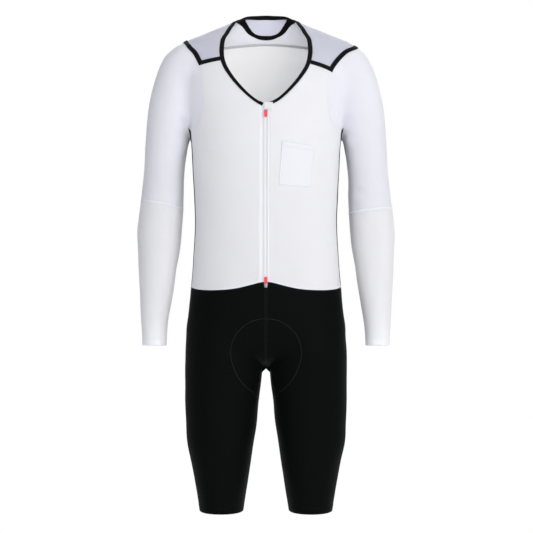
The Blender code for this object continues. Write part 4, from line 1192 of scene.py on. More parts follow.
def make_coil(top):
    """Two rows of nylon loops that meet in the middle of the zip."""
    coil_right, coil_left = CHAIN_EDGES
    middle = (coil_right + coil_left) / 2
    count = int((top - ZIP_END) / COIL_PITCH)
    shares = np.linspace(0, 1, 6)
    rounds = np.arange(COIL_SIDES) * 2 * math.pi / COIL_SIDES
    points, faces = [], []
    for sign, edge in ((-1, coil_right), (1, coil_left)):
        shift = 0.0 if sign < 0 else 0.5
        heights = top - COIL_PITCH * (np.arange(count) + 0.5 + shift)
        line = lay("straight", np.stack([np.full(count, middle), heights], axis=-1))
        normals = form_normals(line)
        relief = cloth_relief(line)[:, None]
        down = unit(np.cross(np.array([1.0, 0, 0]), normals))
        across = np.array([1.0, 0, 0])
        for index in range(count):
            rings = []
            # A loop runs from its row's outer edge to just past the middle, and rises between
            for share in shares:
                reach = (edge - middle) * (1.02 - 1.24 * share)
                arch = COIL_RISE * math.sin(math.pi * min(1.0, 0.12 + share * 0.8))
                centre = line[index] + across * reach + normals[index] * (arch + relief[index])
                centre = centre + down[index] * COIL_PITCH * COIL_LEAN * (share - 0.5)
                rings.append([centre + (down[index] * math.cos(t) + normals[index] * math.sin(t))
                              * COIL_WIRE / 2 for t in rounds])
            start = COIL_SIDES * len(points)
            points.extend(rings)
            for ring in range(len(shares) - 1):
                near = start + COIL_SIDES * ring
                far = near + COIL_SIDES
                for k in range(COIL_SIDES):
                    other = (k + 1) % COIL_SIDES
                    faces.append([near + k, near + other, far + other, far + k])
            last = start + COIL_SIDES * (len(shares) - 1)
            faces.append([start + k for k in reversed(range(COIL_SIDES))])
            faces.append([last + k for k in range(COIL_SIDES)])
    coil = mesh_object("zip_coil", np.array(points), faces, coil_nylon())
    turn_outward(coil)
    dress(coil, "zip_chain", "zip_chain")


def rounded_solid(node, name, material, slot, body, width):
    """A solid's own shape with its edges rounded."""
    mesh = frame["nodes"][node].data.copy()
    work = bmesh.new()
    work.from_mesh(mesh)
    bmesh.ops.remove_doubles(work, verts=work.verts, dist=0.005 * MM)
    bmesh.ops.dissolve_limit(work, angle_limit=math.radians(2), verts=work.verts,
                             edges=work.edges)
    work.to_mesh(mesh)
    work.free()
    mesh.materials.clear()
    mesh.materials.append(material)
    mesh.shade_smooth()
    thing = bpy.data.objects.new(name, mesh)
    bpy.context.scene.collection.objects.link(thing)
    bevel = thing.modifiers.new("round edges", "BEVEL")
    bevel.width = width
    bevel.segments = 3
    bevel.limit_method = "ANGLE"
    bevel.angle_limit = math.radians(30)
    bevel.harden_normals = True
    return dress(thing, slot, node, body=body)


def make_sliders():
    """The two zip sliders, cast in grey metal, and their red pull tabs with grip ridges."""
    for end, body in (("top", "top_tab"), ("bottom", "bottom_tab")):
        rounded_solid(f"slider_{end}", f"cast_slider_{end}", slider_metal(), "slider_metal",
                      BODY_NAME, 0.32 * MM)
        rounded_solid(f"pull_{end}", f"tab_{end}", pull_plastic(), "pull_red", body, 0.3 * MM)
        make_grips(end, body)


def make_grips(end, body):
    """Low ridges across a pull tab, on its face and its back."""
    joint = next(j for j in frame["joints"] if j["child"] == body)
    hinge = np.array(joint["pos_m"])
    low, high = (np.array(corner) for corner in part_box(f"pull_{end}"))
    far = high if abs(high[2] - hinge[2]) > abs(low[2] - hinge[2]) else low
    away = np.array([0, 0, far[2] - hinge[2]])
    front = lay("straight", (hinge[0], hinge[2]))
    normal = form_normals(front)[0]
    along = away - normal * (away @ normal)
    length = np.linalg.norm(along)
    along /= length
    work = bmesh.new()
    for index in range(GRIPS):
        place = hinge + along * (length * 0.46 + GRIP_PITCH * index)
        for face in (1, -1):
            centre = place + normal * face * GRIP_HEIGHT
            add_ridge(work, centre, np.array([1.0, 0, 0]), along, normal)
    mesh = bpy.data.meshes.new(f"grips_{end}")
    work.to_mesh(mesh)
    work.free()
    mesh.shade_smooth()
    mesh.materials.append(pull_plastic())
    thing = bpy.data.objects.new(f"grips_{end}", mesh)
    bpy.context.scene.collection.objects.link(thing)
    turn_outward(thing)
    dress(thing, "pull_red", body=body)


def add_ridge(work, centre, across, along, normal):
    """A rounded bar, thin at its ends."""
    rings = []
    for place, thick in ((-1.0, 0.2), (-0.85, 0.8), (0.0, 1.0), (0.85, 0.8), (1.0, 0.2)):
        ring_points = []
        for turn in np.arange(8) * math.pi / 4:
            spot = centre + across * place * GRIP_HALF
            spot = spot + (along * math.cos(turn) + normal * math.sin(turn)) * GRIP_ROUND * thick
            ring_points.append(work.verts.new(spot))
        rings.append(ring_points)
    for first, second in zip(rings[:-1], rings[1:]):
        for k in range(8):
            other = (k + 1) % 8
            work.faces.new([first[k], first[other], second[other], second[k]])
    work.faces.new(rings[0][::-1])
    work.faces.new(rings[-1])


def make_stitching():
    """Threads on every seam: cover stitches over the joins and straight rows along the folds."""
    white, black, pale = [], [], []
    for sign in (-1, 1):
        seams = side_seams(sign)
        white.append(cover_stitches(armhole_line(seams), 1.7 * MM, 0.4 * MM))
        for edge in ("side_front", "side_back"):
            inward = 1 if edge == "side_front" else -1
            white.append(running_stitches(seams[edge], 1.8 * MM * sign * inward))
        lower = sleeve_grids(sign)[1]
        white.append(cover_stitches(lower[0], COVER_WIDTH, BAND_HEIGHT))
        white.append(running_stitches(lower[:, 0], 1.6 * MM))
        white.append(running_stitches(lower[-1], -CUFF_STITCH * sign))
        grid = shorts_grid(sign)
        crotch = FINE * STEPS["crotch"]
        black.append(running_stitches(grid[-1], -LEG_STITCH * sign))
        black.append(running_stitches(grid[:crotch, 0], 1.8 * MM * sign))
        black.append(running_stitches(grid[:crotch, -1], -1.8 * MM * sign))
        black.append(cover_stitches(grid[crotch:, 0], COVER_WIDTH, 0.05 * MM))
        waist = grid[0]
        white.append(running_stitches(waist, -1.5 * MM * sign, 0.45 * MM))
        white.append(running_stitches(waist, -5.2 * MM * sign))
        black.append(running_stitches(waist, 2.0 * MM * sign))
        fold = front_grid(sign)[:, 0]
        white.append(running_stitches(fold, 5.1 * MM * -sign))
        outline, _ = on_form(pad_outline(sign))
        black.append(cover_stitches(outline, 2.2 * MM, 0.35 * MM))
        ridge = sweep(f"pad_seam_{'left' if sign > 0 else 'right'}", outline,
                      rounded(-1.3, 1.3, -0.2, 0.45, 0.4), black_knit())
        dress(ridge, "black_cloth")
        for side in (-3.2, 3.2):
            black.append(running_stitches(tape_line(seams), side * MM, 1.0 * MM))
    white.append(cover_stitches(across_back(YOKE_BACK, "yoke_back"), COVER_WIDTH, BAND_HEIGHT))
    neck = even(neckline(), 5 * MM)
    black.append(running_stitches(neck, 0.6 * MM, 0.75 * MM))
    corners = np.array(POCKET_CORNERS, dtype=float)
    frame_line = corners[[0, 3, 2, 1]] + np.array([[1.8, 0], [1.8, 1.8], [-1.8, 1.8], [-1.8, 0]])
    places = [frame_line[side] + (frame_line[side + 1] - frame_line[side]) * share
              for side in range(3) for share in np.linspace(0, 1, 12)]
    line = lay("front", np.array(places) * MM)
    pale.append(running_stitches(line, 0.0, 0.95 * MM))
    hem = corners[:2] + np.array([[0.5, -9.4], [-0.5, -9.4]])
    line = lay("front", np.linspace(hem[0], hem[1], 14) * MM)
    pale.append(running_stitches(line, 0.0, 1.6 * MM))
    thread_object("white_stitches", white, white_thread(), "white_cloth")
    thread_object("pocket_stitches", pale, white_thread(), "white_cloth")
    thread_object("black_stitches", black, black_thread(), "black_cloth")


def pad_outline(sign):
    """The seat pad's outline on one leg, from the front centre round the leg to the back."""
    rows = [*PAD_FRONT, *PAD_UNDER, *PAD_BACK]
    knots = []
    for view, a, b in rows:
        if view == "inner":
            start = np.array([[sign * LEG.section(np.array(b * MM))[0], a * MM, b * MM]])
            knots.append(leave(start, np.array([[-float(sign), 0, 0]]))[0])
        else:
            knots.append(lay(view, (a * MM, b * MM), sign)[0])
    return resample(knots, 150)


def make_seam_bands():
    """Flat raised bands of sewn seams on the white cloth, at the armholes, elbows, back and waist."""
    flat = rounded(-1.6, 1.6, -0.3, 0.38, 0.25)
    slim = rounded(-1.1, 1.1, -0.3, 0.36, 0.25)
    for sign, name in ((-1, "right"), (1, "left")):
        seams = side_seams(sign)
        elbow = sleeve_grids(sign)[1][0]
        waist = shorts_grid(sign)[0]
        fold = rounded(*sorted((-0.1 * sign, -2.9 * sign)), -0.3, 0.45, 0.3)
        for part, path, profile in (("armhole", armhole_line(seams), slim),
                                    ("elbow", elbow, flat), ("waist", waist, fold)):
            band = sweep(f"{part}_band_{name}", even(path, 3 * MM), profile, seam_knit())
            dress(band, "white_cloth")
    back = across_back(YOKE_BACK, "yoke_back")
    dress(sweep("yoke_band", even(back, 3 * MM), flat, seam_knit()), "white_cloth")


def make_inner_seams():
    """Flat seam bands inside the suit, which show through the open neck, cuffs and hems."""
    paths = [("yoke_seam", across_back(YOKE_BACK, "yoke_back"))]
    for sign, name in ((-1, "right"), (1, "left")):
        seams = side_seams(sign)
        paths.append((f"shoulder_seam_{name}", seams["shoulder"]))
        paths.append((f"back_armhole_seam_{name}", seams["armhole_back"]))
        paths.append((f"front_armhole_seam_{name}", seams["armhole_front"]))
    for name, path in paths:
        band = sweep(f"inner_{name}", path, rounded(-2.6, 2.6, -1.7, -0.7, 0.3), white_knit())
        dress(band, "white_cloth")


def colours():
    return bpy.context.scene.skinsuit_colours


def new_material(name, colour, roughness, specular, sheen=0.0, metallic=0.0):
    """A plain material with its shader's own values set, to be given a pattern."""
    material = bpy.data.materials.new(name)
    material.use_nodes = True
    shader = material.node_tree.nodes["Principled BSDF"]
    shader.inputs["Base Color"].default_value = (*colour, 1)
    shader.inputs["Roughness"].default_value = roughness
    shader.inputs["Specular IOR Level"].default_value = specular
    shader.inputs["Sheen Weight"].default_value = sheen
    shader.inputs["Sheen Roughness"].default_value = SHEEN_ROUGHNESS
    shader.inputs["Metallic"].default_value = metallic
    return material.node_tree, shader


def bands(tree, source, direction, period):
    """Even bands across a direction, as a value from 0 to 1."""
    wave = tree.nodes.new("ShaderNodeTexWave")
    wave.wave_type = "BANDS"
    wave.bands_direction = direction
    wave.wave_profile = "SIN"
    wave.inputs["Scale"].default_value = 2 * math.pi / (20 * period)
    tree.links.new(source, wave.inputs["Vector"])
    return wave.outputs["Fac"]


def mixed(tree, first, second, operation="MULTIPLY"):
    """Two values joined by arithmetic."""
    node = tree.nodes.new("ShaderNodeMath")
    node.operation = operation
    tree.links.new(first, node.inputs[0])
    if hasattr(second, "node"):
        tree.links.new(second, node.inputs[1])
    else:
        node.inputs[1].default_value = second
    return node.outputs[0]


def tinted(tree, shader, base, other, factor):
    """Let the base colour run between two colours by a factor."""
    ramp = tree.nodes.new("ShaderNodeMix")
    ramp.data_type = "RGBA"
    ramp.inputs["A"].default_value = (*base, 1)
    ramp.inputs["B"].default_value = (*other, 1)
    tree.links.new(factor, ramp.inputs["Factor"])
    tree.links.new(ramp.outputs["Result"], shader.inputs["Base Color"])


def bumped(tree, shader, height, distance, strength):
    """Raise the surface by a height."""
    bump = tree.nodes.new("ShaderNodeBump")
    bump.inputs["Distance"].default_value = distance
    bump.inputs["Strength"].default_value = strength
    tree.links.new(height, bump.inputs["Height"])
    tree.links.new(bump.outputs["Normal"], shader.inputs["Normal"])


def noise(tree, scale, detail=2.0):
    """Soft uneven values fixed to the cloth."""
    place = tree.nodes.new("ShaderNodeTexCoord")
    texture = tree.nodes.new("ShaderNodeTexNoise")
    texture.inputs["Scale"].default_value = scale
    texture.inputs["Detail"].default_value = detail
    tree.links.new(place.outputs["Object"], texture.inputs["Vector"])
    return texture.outputs["Fac"]


def knit(name, colour, shade, roughness, specular, sheen, wale, course, depth, strength, glow=0.0):
    """A stretch knit: upright wales crossed by finer courses, with a slightly uneven dye and painted
    shade between the loops.
    """
    if name in bpy.data.materials:
        return bpy.data.materials[name]
    tree, shader = new_material(name, colour, roughness, specular, sheen)
    shader.inputs["Subsurface Weight"].default_value = glow
    shader.inputs["Subsurface Scale"].default_value = LIGHT_DEPTH
    shader.inputs["Subsurface Radius"].default_value = (1.0, 1.0, 1.0)
    cloth = tree.nodes.new("ShaderNodeUVMap")
    cloth.uv_map = "cloth"
    across = bands(tree, cloth.outputs["UV"], "X", wale)
    down = bands(tree, cloth.outputs["UV"], "Y", course)
    loops = mixed(tree, across, down)
    bumped(tree, shader, loops, depth, strength)
    dye = mixed(tree, noise(tree, DYE_PATCHES), DYE_SHARE)
    # Painted shade: the colour darkens where the loops dip, between them
    hollow_shade = mixed(tree, mixed(tree, loops, -LOOP_SHADE), LOOP_SHADE, "ADD")
    tinted(tree, shader, colour, shade, mixed(tree, dye, hollow_shade, "ADD"))
    return bpy.data.materials[name]


def darker(colour, share):
    return tuple(channel * share for channel in colour)


def white_knit():
    """Smooth white stretch knit."""
    colour = tuple(colours().white_cloth)
    return knit("white_knit", colour, darker(colour, 0.93), 0.62, 0.25, 0.12, 0.9 * MM, 0.7 * MM,
                0.12 * MM, 0.35, GLOW)


def white_reverse_painted_light():
    """The smoother reverse of the white cloths, painted whiter than their face as painted light for
    the inside, which the lamps reach less.
    """
    colour = tuple(colours().reverse)
    return knit("white_reverse_painted_light", colour, darker(colour, 0.97), 0.7, 0.15, 0.1, 0.9 * MM, 0.7 * MM,
                0.1 * MM, 0.3, GLOW)


def yoke_reverse_painted_light():
    """The reverse of the yoke, painted paler than its face as painted light for the inside, which the
    lamps reach less.
    """
    colour = tuple(colours().yoke_reverse_painted_light)
    return knit("yoke_reverse_painted_light", colour, darker(colour, 0.93), 0.7, 0.15, 0.1, 2.2 * MM, 1.8 * MM,
                0.25 * MM, 0.5, GLOW)


def pocket_knit():
    """The pocket's knit, which lets no light through and so looks a shade brighter."""
    colour = tuple(colours().pocket_cloth)
    return knit("pocket_knit", colour, darker(colour, 0.95), 0.6, 0.25, 0.12, 0.9 * MM, 0.7 * MM,
                0.12 * MM, 0.35)


def seam_knit():
    """The denser cloth of seam bands and folds, which lets no light through."""
    colour = tuple(colours().seam_cloth)
    return knit("seam_knit", colour, darker(colour, 0.96), 0.55, 0.3, 0.15, 0.8 * MM, 1.6 * MM,
                0.14 * MM, 0.5)


def shaded_sleeve_knit():
    """The upper sleeves' knit, a touch darker and bluer than the white cloth: painted shade for the
    bluish shadow on the upper arms.
    """
    colour = tuple(colours().shaded_sleeve_cloth)
    return knit("shaded_sleeve_knit", colour, darker(colour, 0.93), 0.6, 0.28, 0.12, 1.1 * MM, 0.8 * MM,
                0.14 * MM, 0.4, GLOW)


def yoke_knit():
    """The yoke's grey-lilac knit with a fine raised texture."""
    colour = tuple(colours().yoke_cloth)
    return knit("yoke_knit", colour, darker(colour, 0.84), 0.7, 0.2, 0.15, 2.2 * MM, 1.8 * MM,
                0.3 * MM, 0.6, GLOW)


def black_knit():
    """Dense black stretch knit, a little shiny."""
    colour = tuple(colours().black_cloth)
    return knit("black_knit", colour, darker(colour, 0.75), 0.55, 0.022, 0.008, 0.8 * MM, 0.6 * MM,
                0.12 * MM, 0.4)


def black_tape():
    """Matt black elastic tape with a fine cross rib."""
    colour = tuple(colours().black_tape)
    return knit("black_tape", colour, darker(colour, 0.7), 0.7, 0.05, 0.03, 1.3 * MM, 0.9 * MM,
                0.2 * MM, 0.5)


def tape_weave():
    """The zip's tight woven tape."""
    colour = tuple(colours().zip_tape)
    return knit("tape_weave", colour, darker(colour, 0.85), 0.7, 0.2, 0.05, 0.6 * MM, 0.9 * MM,
                0.12 * MM, 0.5)


def side_mesh():
    """Fine black mesh: its holes painted as darker dots, painted shade of the inside seen through
    them, in a slightly brown net.
    """
    if "side_mesh_net" in bpy.data.materials:
        return bpy.data.materials["side_mesh_net"]
    colour = tuple(colours().side_mesh)
    tree, shader = new_material("side_mesh_net", colour, 0.75, 0.12, 0.1)
    cloth = tree.nodes.new("ShaderNodeUVMap")
    cloth.uv_map = "cloth"
    net = mixed(tree, bands(tree, cloth.outputs["UV"], "X", 1.7 * MM),
                bands(tree, cloth.outputs["UV"], "Y", 1.5 * MM))
    bumped(tree, shader, net, 0.3 * MM, 0.7)
    # Painted shade: the dots where the holes are go darker, for the shade seen through them
    tinted(tree, shader, colour, darker(colour, 0.2), net)
    return bpy.data.materials["side_mesh_net"]


def grained(name, colour, roughness, specular, scale, depth, strength, shade, detail=2.0, **more):
    """A material with a fine grain that tints and dents it."""
    if name in bpy.data.materials:
        return bpy.data.materials[name]
    tree, shader = new_material(name, colour, roughness, specular, **more)
    grain = noise(tree, scale, detail)
    bumped(tree, shader, grain, depth, strength)
    tinted(tree, shader, colour, darker(colour, shade), grain)
    return bpy.data.materials[name]


def thread(name, colour):
    """Polyester thread with a fine twist."""
    return grained(name, colour, 0.5, 0.3, 2600.0, 0.06 * MM, 0.4, 0.85, sheen=0.1)


def white_thread():
    return thread("white_thread", tuple(colours().white_thread))


def black_thread():
    return thread("black_thread", tuple(colours().black_thread))


def coil_nylon():
    """The zip's satin nylon coil."""
    return grained("coil_nylon", tuple(colours().zip_coil), 0.35, 0.4, 900.0, 0.03 * MM, 0.3, 0.9)


def slider_metal():
    """Die-cast metal with a fine tumbled grain."""
    return grained("cast_metal", tuple(colours().metal), 0.34, 0.5, 1400.0, 0.04 * MM, 0.35, 0.8,
                   detail=4.0, metallic=0.9)


def pull_plastic():
    """Moulded red plastic with a soft grain."""
    return grained("pull_plastic", tuple(colours().pull), 0.38, 0.4, 1100.0, 0.04 * MM, 0.3, 0.85,
                   detail=3.0)


def make_stage():
    """A pale floor below the suit, soft studio light and the camera."""
    scene = bpy.context.scene
    studio = scene.skinsuit_studio
    mesh = bpy.data.meshes.new("floor")
    work = bmesh.new()
    bmesh.ops.create_circle(work, cap_ends=True, segments=96, radius=studio.floor_radius)
    work.to_mesh(mesh)
    work.free()
    floor = bpy.data.objects.new("floor", mesh)
    floor.location = (0, 0, studio.floor_height)
    scene.collection.objects.link(floor)
    tree, shader = new_material("floor_paint", tuple(studio.floor_colour), 0.8, 0.2)
    tinted(tree, shader, tuple(studio.floor_colour), darker(studio.floor_colour, 0.97),
           noise(tree, 3.0))
    mesh.materials.append(bpy.data.materials["floor_paint"])
    for name, place, size, power, colour in LIGHTS:
        light = bpy.data.lights.new(name, "AREA")
        light.shape = "RECTANGLE"
        light.size, light.size_y = size
        light.energy = power * studio.light
        light.color = colour
        lamp = bpy.data.objects.new(name, light)
        lamp.location = place
        lamp.visible_camera = False
        aim = Vector(LIGHT_AIM) - Vector(place)
        lamp.rotation_euler = aim.to_track_quat("-Z", "Y").to_euler()
        scene.collection.objects.link(lamp)
    make_sky(scene, studio)
    camera = bpy.data.cameras.new("camera")
    camera.lens = studio.lens
    camera.sensor_width = SENSOR
    eye = bpy.data.objects.new("camera", camera)
    eye.location = (EYE_X, -VIEW_DISTANCE, VIEW_HEIGHT)
    eye.rotation_euler = (math.pi / 2, 0, 0)
    scene.collection.objects.link(eye)
    scene.camera = eye
    scene.view_settings.view_transform = "Standard"


def make_sky(scene, studio):
    """An even pale surround, white behind the suit and softer as a light."""
    world = bpy.data.worlds.new("surround")
    scene.world = world
    world.use_nodes = True
    tree = world.node_tree
    tree.nodes.clear()
    seen, glow = (tree.nodes.new("ShaderNodeBackground") for _ in range(2))
    seen.inputs["Color"].default_value = (1, 1, 1, 1)
    glow.inputs["Color"].default_value = (*studio.surround_colour, 1)
    glow.inputs["Strength"].default_value = studio.surround
    path = tree.nodes.new("ShaderNodeLightPath")
    mix = tree.nodes.new("ShaderNodeMixShader")
    out = tree.nodes.new("ShaderNodeOutputWorld")
    tree.links.new(path.outputs["Is Camera Ray"], mix.inputs["Fac"])
    tree.links.new(glow.outputs["Background"], mix.inputs[1])
    tree.links.new(seen.outputs["Background"], mix.inputs[2])
    tree.links.new(mix.outputs["Shader"], out.inputs["Surface"])


class SkinsuitSizes(bpy.types.PropertyGroup):
    """Sizes of the cloth and the threads."""

    cloth: bpy.props.FloatProperty(
        name="Cloth thickness", description="Thickness of the stretch cloth", default=1.0 * MM,
        min=0.4 * MM, max=1.2 * MM, unit="LENGTH")
    unevenness: bpy.props.FloatProperty(
        name="Unevenness", description="How far the worn cloth wavers from its smooth form",
        default=0.25 * MM, min=0.0, max=1.0 * MM, unit="LENGTH")
    stitch: bpy.props.FloatProperty(
        name="Stitch length", description="Length of one stitch and its gap", default=2.6 * MM,
        min=1.5 * MM, max=5.0 * MM, unit="LENGTH")
    thread: bpy.props.FloatProperty(
        name="Thread thickness", description="Diameter of the sewing thread", default=0.5 * MM,
        min=0.2 * MM, max=1.0 * MM, unit="LENGTH")


class SkinsuitColours(bpy.types.PropertyGroup):
    """Colours of the cloths, trims and metal."""

    white_cloth: bpy.props.FloatVectorProperty(
        name="White cloth", description="Fronts, back, lower sleeves, pocket and zip cover",
        default=(0.765, 0.768, 0.807), subtype="COLOR", min=0.0, max=1.0)
    # Painted light: the inner side is painted whiter than the face, for light that the inside of the
    # suit lacks
    reverse: bpy.props.FloatVectorProperty(
        name="White reverse", description="Inner side of the white cloths",
        default=(0.89, 0.89, 0.925), subtype="COLOR", min=0.0, max=1.0)
    # Painted light: the yoke's inner side is painted paler than its face, for light that the inside
    # lacks
    yoke_reverse_painted_light: bpy.props.FloatVectorProperty(
        name="Yoke reverse", description="Inner side of the yoke",
        default=(0.70, 0.705, 0.77), subtype="COLOR", min=0.0, max=1.0)
    pocket_cloth: bpy.props.FloatVectorProperty(
        name="Pocket", description="The pocket, which lets no light through",
        default=(0.655, 0.667, 0.70), subtype="COLOR", min=0.0, max=1.0)
    seam_cloth: bpy.props.FloatVectorProperty(
        name="Seam bands", description="Seam bands and folds, which let no light through",
        default=(0.72, 0.73, 0.77), subtype="COLOR", min=0.0, max=1.0)
    # Painted shade: the upper sleeves are painted a touch darker and bluer than the white cloth
    shaded_sleeve_cloth: bpy.props.FloatVectorProperty(
        name="Upper sleeves", description="The slightly bluer upper sleeves",
        default=(0.738, 0.744, 0.832), subtype="COLOR", min=0.0, max=1.0)
    yoke_cloth: bpy.props.FloatVectorProperty(
        name="Yoke", description="Grey-lilac yoke and half-moon",
        default=(0.55, 0.56, 0.66), subtype="COLOR", min=0.0, max=1.0)
    black_cloth: bpy.props.FloatVectorProperty(
        name="Black cloth", description="The shorts", default=(0.0025, 0.003, 0.003),
        subtype="COLOR", min=0.0, max=1.0)
    black_tape: bpy.props.FloatVectorProperty(
        name="Black tape", description="Neck binding and shoulder tapes",
        default=(0.005, 0.0055, 0.0055), subtype="COLOR", min=0.0, max=1.0)
    side_mesh: bpy.props.FloatVectorProperty(
        name="Side mesh", description="Net of the side panels", default=(0.012, 0.010, 0.009),
        subtype="COLOR", min=0.0, max=1.0)
    zip_tape: bpy.props.FloatVectorProperty(
        name="Zip tape", description="Woven tapes behind the zip", default=(0.745, 0.75, 0.785),
        subtype="COLOR", min=0.0, max=1.0)
    zip_coil: bpy.props.FloatVectorProperty(
        name="Zip coil", description="The coil's nylon", default=(0.875, 0.88, 0.90),
        subtype="COLOR", min=0.0, max=1.0)
    metal: bpy.props.FloatVectorProperty(
        name="Slider metal", description="The cast sliders", default=(0.24, 0.235, 0.23),
        subtype="COLOR", min=0.0, max=1.0)
    pull: bpy.props.FloatVectorProperty(
        name="Pull tabs", description="The red pull tabs", default=(0.95, 0.03, 0.08),
        subtype="COLOR", min=0.0, max=1.0)
    white_thread: bpy.props.FloatVectorProperty(
        name="White thread", description="Thread on the white and lilac cloths",
        default=(0.82, 0.82, 0.87), subtype="COLOR", min=0.0, max=1.0)
    black_thread: bpy.props.FloatVectorProperty(
        name="Black thread", description="Thread on the black cloths",
        default=(0.005, 0.0055, 0.0055), subtype="COLOR", min=0.0, max=1.0)


class SkinsuitStudio(bpy.types.PropertyGroup):
    """The floor, the light and the lens."""

    light: bpy.props.FloatProperty(
        name="Lamp power", description="Multiplies the power of every lamp", default=1.0,
        min=0.0, max=10.0, subtype="FACTOR")
    surround: bpy.props.FloatProperty(
        name="Surround light", description="Strength of the light from all round", default=0.52,
        min=0.0, max=4.0, subtype="FACTOR")
    surround_colour: bpy.props.FloatVectorProperty(
        name="Surround colour", description="Colour of the light from all round",
        default=(0.97, 0.98, 1.0), subtype="COLOR", min=0.0, max=1.0)
    floor_colour: bpy.props.FloatVectorProperty(
        name="Floor colour", description="Colour of the pale floor", default=(0.86, 0.86, 0.87),
        subtype="COLOR", min=0.0, max=1.0)
    floor_height: bpy.props.FloatProperty(
        name="Floor height", description="Height of the floor below the shoulders",
        default=-1.46, unit="LENGTH")
    floor_radius: bpy.props.FloatProperty(
        name="Floor radius", description="Radius of the round floor", default=2.4, min=0.5,
        max=10.0, unit="LENGTH")
    lens: bpy.props.FloatProperty(
        name="Lens", description="Focal length of the camera", default=108.07, min=20.0,
        max=400.0, unit="CAMERA")


class SKINSUIT_OT_fronts(bpy.types.Operator):
    """Make both white fronts"""

    bl_idname = "skinsuit.fronts"
    bl_label = "Fronts"
    bl_options = {"REGISTER", "UNDO"}

    def execute(self, context):
        make_fronts()
        return {"FINISHED"}


class SKINSUIT_OT_back(bpy.types.Operator):
    """Make the white back panel"""

    bl_idname = "skinsuit.back"
    bl_label = "Back"
    bl_options = {"REGISTER", "UNDO"}

    def execute(self, context):
        make_back()
        return {"FINISHED"}


class SKINSUIT_OT_side_panels(bpy.types.Operator):
    """Make the black mesh side panels"""

    bl_idname = "skinsuit.side_panels"
    bl_label = "Side panels"
    bl_options = {"REGISTER", "UNDO"}

    def execute(self, context):
        make_side_panels()
        return {"FINISHED"}


class SKINSUIT_OT_yoke(bpy.types.Operator):
    """Make the grey-lilac yoke and the half-moon below the neck"""

    bl_idname = "skinsuit.yoke"
    bl_label = "Yoke"
    bl_options = {"REGISTER", "UNDO"}

    def execute(self, context):
        make_yoke()
        return {"FINISHED"}


class SKINSUIT_OT_sleeves(bpy.types.Operator):
    """Make the upper and lower sleeves"""

    bl_idname = "skinsuit.sleeves"
    bl_label = "Sleeves"
    bl_options = {"REGISTER", "UNDO"}

    def execute(self, context):
        make_sleeves()
        return {"FINISHED"}


class SKINSUIT_OT_shorts(bpy.types.Operator):
    """Make both legs of the black shorts"""

    bl_idname = "skinsuit.shorts"
    bl_label = "Shorts"
    bl_options = {"REGISTER", "UNDO"}

    def execute(self, context):
        make_shorts()
        return {"FINISHED"}


class SKINSUIT_OT_neck_binding(bpy.types.Operator):
    """Make the black binding round the neck"""

    bl_idname = "skinsuit.neck_binding"
    bl_label = "Neck binding"
    bl_options = {"REGISTER", "UNDO"}

    def execute(self, context):
        make_neck_binding()
        return {"FINISHED"}


class SKINSUIT_OT_tapes(bpy.types.Operator):
    """Make the black tapes on the shoulders and below the half-moon"""

    bl_idname = "skinsuit.tapes"
    bl_label = "Tapes"
    bl_options = {"REGISTER", "UNDO"}

    def execute(self, context):
        make_tapes()
        return {"FINISHED"}


class SKINSUIT_OT_pocket(bpy.types.Operator):
    """Make the chest pocket"""

    bl_idname = "skinsuit.pocket"
    bl_label = "Pocket"
    bl_options = {"REGISTER", "UNDO"}

    def execute(self, context):
        make_pocket()
        return {"FINISHED"}


class SKINSUIT_OT_zip(bpy.types.Operator):
    """Make the zip's tapes, coil and cover"""

    bl_idname = "skinsuit.zip"
    bl_label = "Zip"
    bl_options = {"REGISTER", "UNDO"}

    def execute(self, context):
        make_zip()
        return {"FINISHED"}


class SKINSUIT_OT_sliders(bpy.types.Operator):
    """Make the two sliders and their red pull tabs"""

    bl_idname = "skinsuit.sliders"
    bl_label = "Sliders"
    bl_options = {"REGISTER", "UNDO"}

    def execute(self, context):
        make_sliders()
        return {"FINISHED"}


class SKINSUIT_OT_stitching(bpy.types.Operator):
    """Sew every seam, hem and fold, and the seat pad's outline"""

    bl_idname = "skinsuit.stitching"
    bl_label = "Stitching"
    bl_options = {"REGISTER", "UNDO"}

    def execute(self, context):
        make_stitching()
        return {"FINISHED"}


class SKINSUIT_OT_seam_bands(bpy.types.Operator):
    """Make the raised bands of the sewn seams"""

    bl_idname = "skinsuit.seam_bands"
    bl_label = "Seam bands"
    bl_options = {"REGISTER", "UNDO"}

    def execute(self, context):
        make_seam_bands()
        return {"FINISHED"}


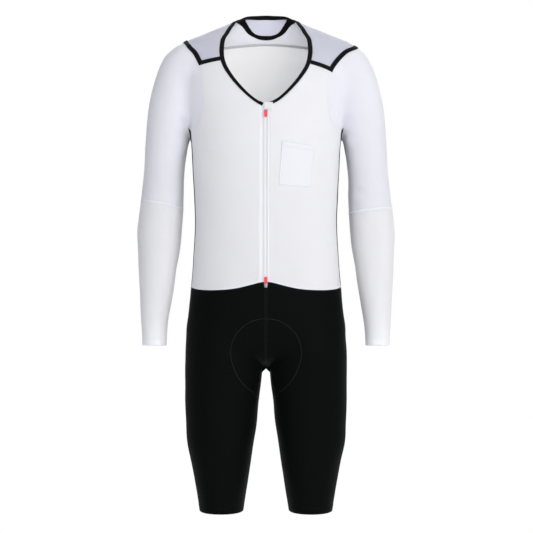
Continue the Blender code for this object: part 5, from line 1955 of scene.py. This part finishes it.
class SKINSUIT_OT_inner_seams(bpy.types.Operator):
    """Make the flat seam bands inside the suit"""

    bl_idname = "skinsuit.inner_seams"
    bl_label = "Inner seams"
    bl_options = {"REGISTER", "UNDO"}

    def execute(self, context):
        make_inner_seams()
        return {"FINISHED"}


class SKINSUIT_OT_stage(bpy.types.Operator):
    """Set up the pale floor, the studio light and the camera"""

    bl_idname = "skinsuit.stage"
    bl_label = "Studio"
    bl_options = {"REGISTER", "UNDO"}

    def execute(self, context):
        make_stage()
        return {"FINISHED"}


OPERATORS = (
    SKINSUIT_OT_stage, SKINSUIT_OT_fronts, SKINSUIT_OT_back, SKINSUIT_OT_side_panels,
    SKINSUIT_OT_yoke, SKINSUIT_OT_sleeves, SKINSUIT_OT_shorts, SKINSUIT_OT_neck_binding,
    SKINSUIT_OT_tapes, SKINSUIT_OT_pocket, SKINSUIT_OT_zip, SKINSUIT_OT_sliders,
    SKINSUIT_OT_stitching, SKINSUIT_OT_seam_bands, SKINSUIT_OT_inner_seams,
)
SETTINGS = {
    "skinsuit_sizes": SkinsuitSizes,
    "skinsuit_colours": SkinsuitColours,
    "skinsuit_studio": SkinsuitStudio,
}


class SKINSUIT_PT_main(bpy.types.Panel):
    """Lists the suit's settings and its pieces"""

    bl_idname = "SKINSUIT_PT_main"
    bl_label = "Cycling skinsuit"
    bl_space_type = "VIEW_3D"
    bl_region_type = "UI"
    bl_category = "Skinsuit"

    def draw(self, context):
        for name, group in SETTINGS.items():
            box = self.layout.box()
            for key in group.__annotations__:
                box.prop(getattr(context.scene, name), key)
        for operator in OPERATORS:
            self.layout.operator(operator.bl_idname)


def register():
    for group in (*SETTINGS.values(), *OPERATORS, SKINSUIT_PT_main):
        bpy.utils.register_class(group)
    for name, group in SETTINGS.items():
        setattr(bpy.types.Scene, name, bpy.props.PointerProperty(type=group))


def unregister():
    for name in SETTINGS:
        delattr(bpy.types.Scene, name)
    for group in (SKINSUIT_PT_main, *reversed(OPERATORS), *reversed(SETTINGS.values())):
        bpy.utils.unregister_class(group)


def main():
    """Make the whole suit and its studio."""
    register()
    for operator in OPERATORS:
        group, name = operator.bl_idname.split(".")
        getattr(getattr(bpy.ops, group), name)()


if __name__ == "__main__":
    main()
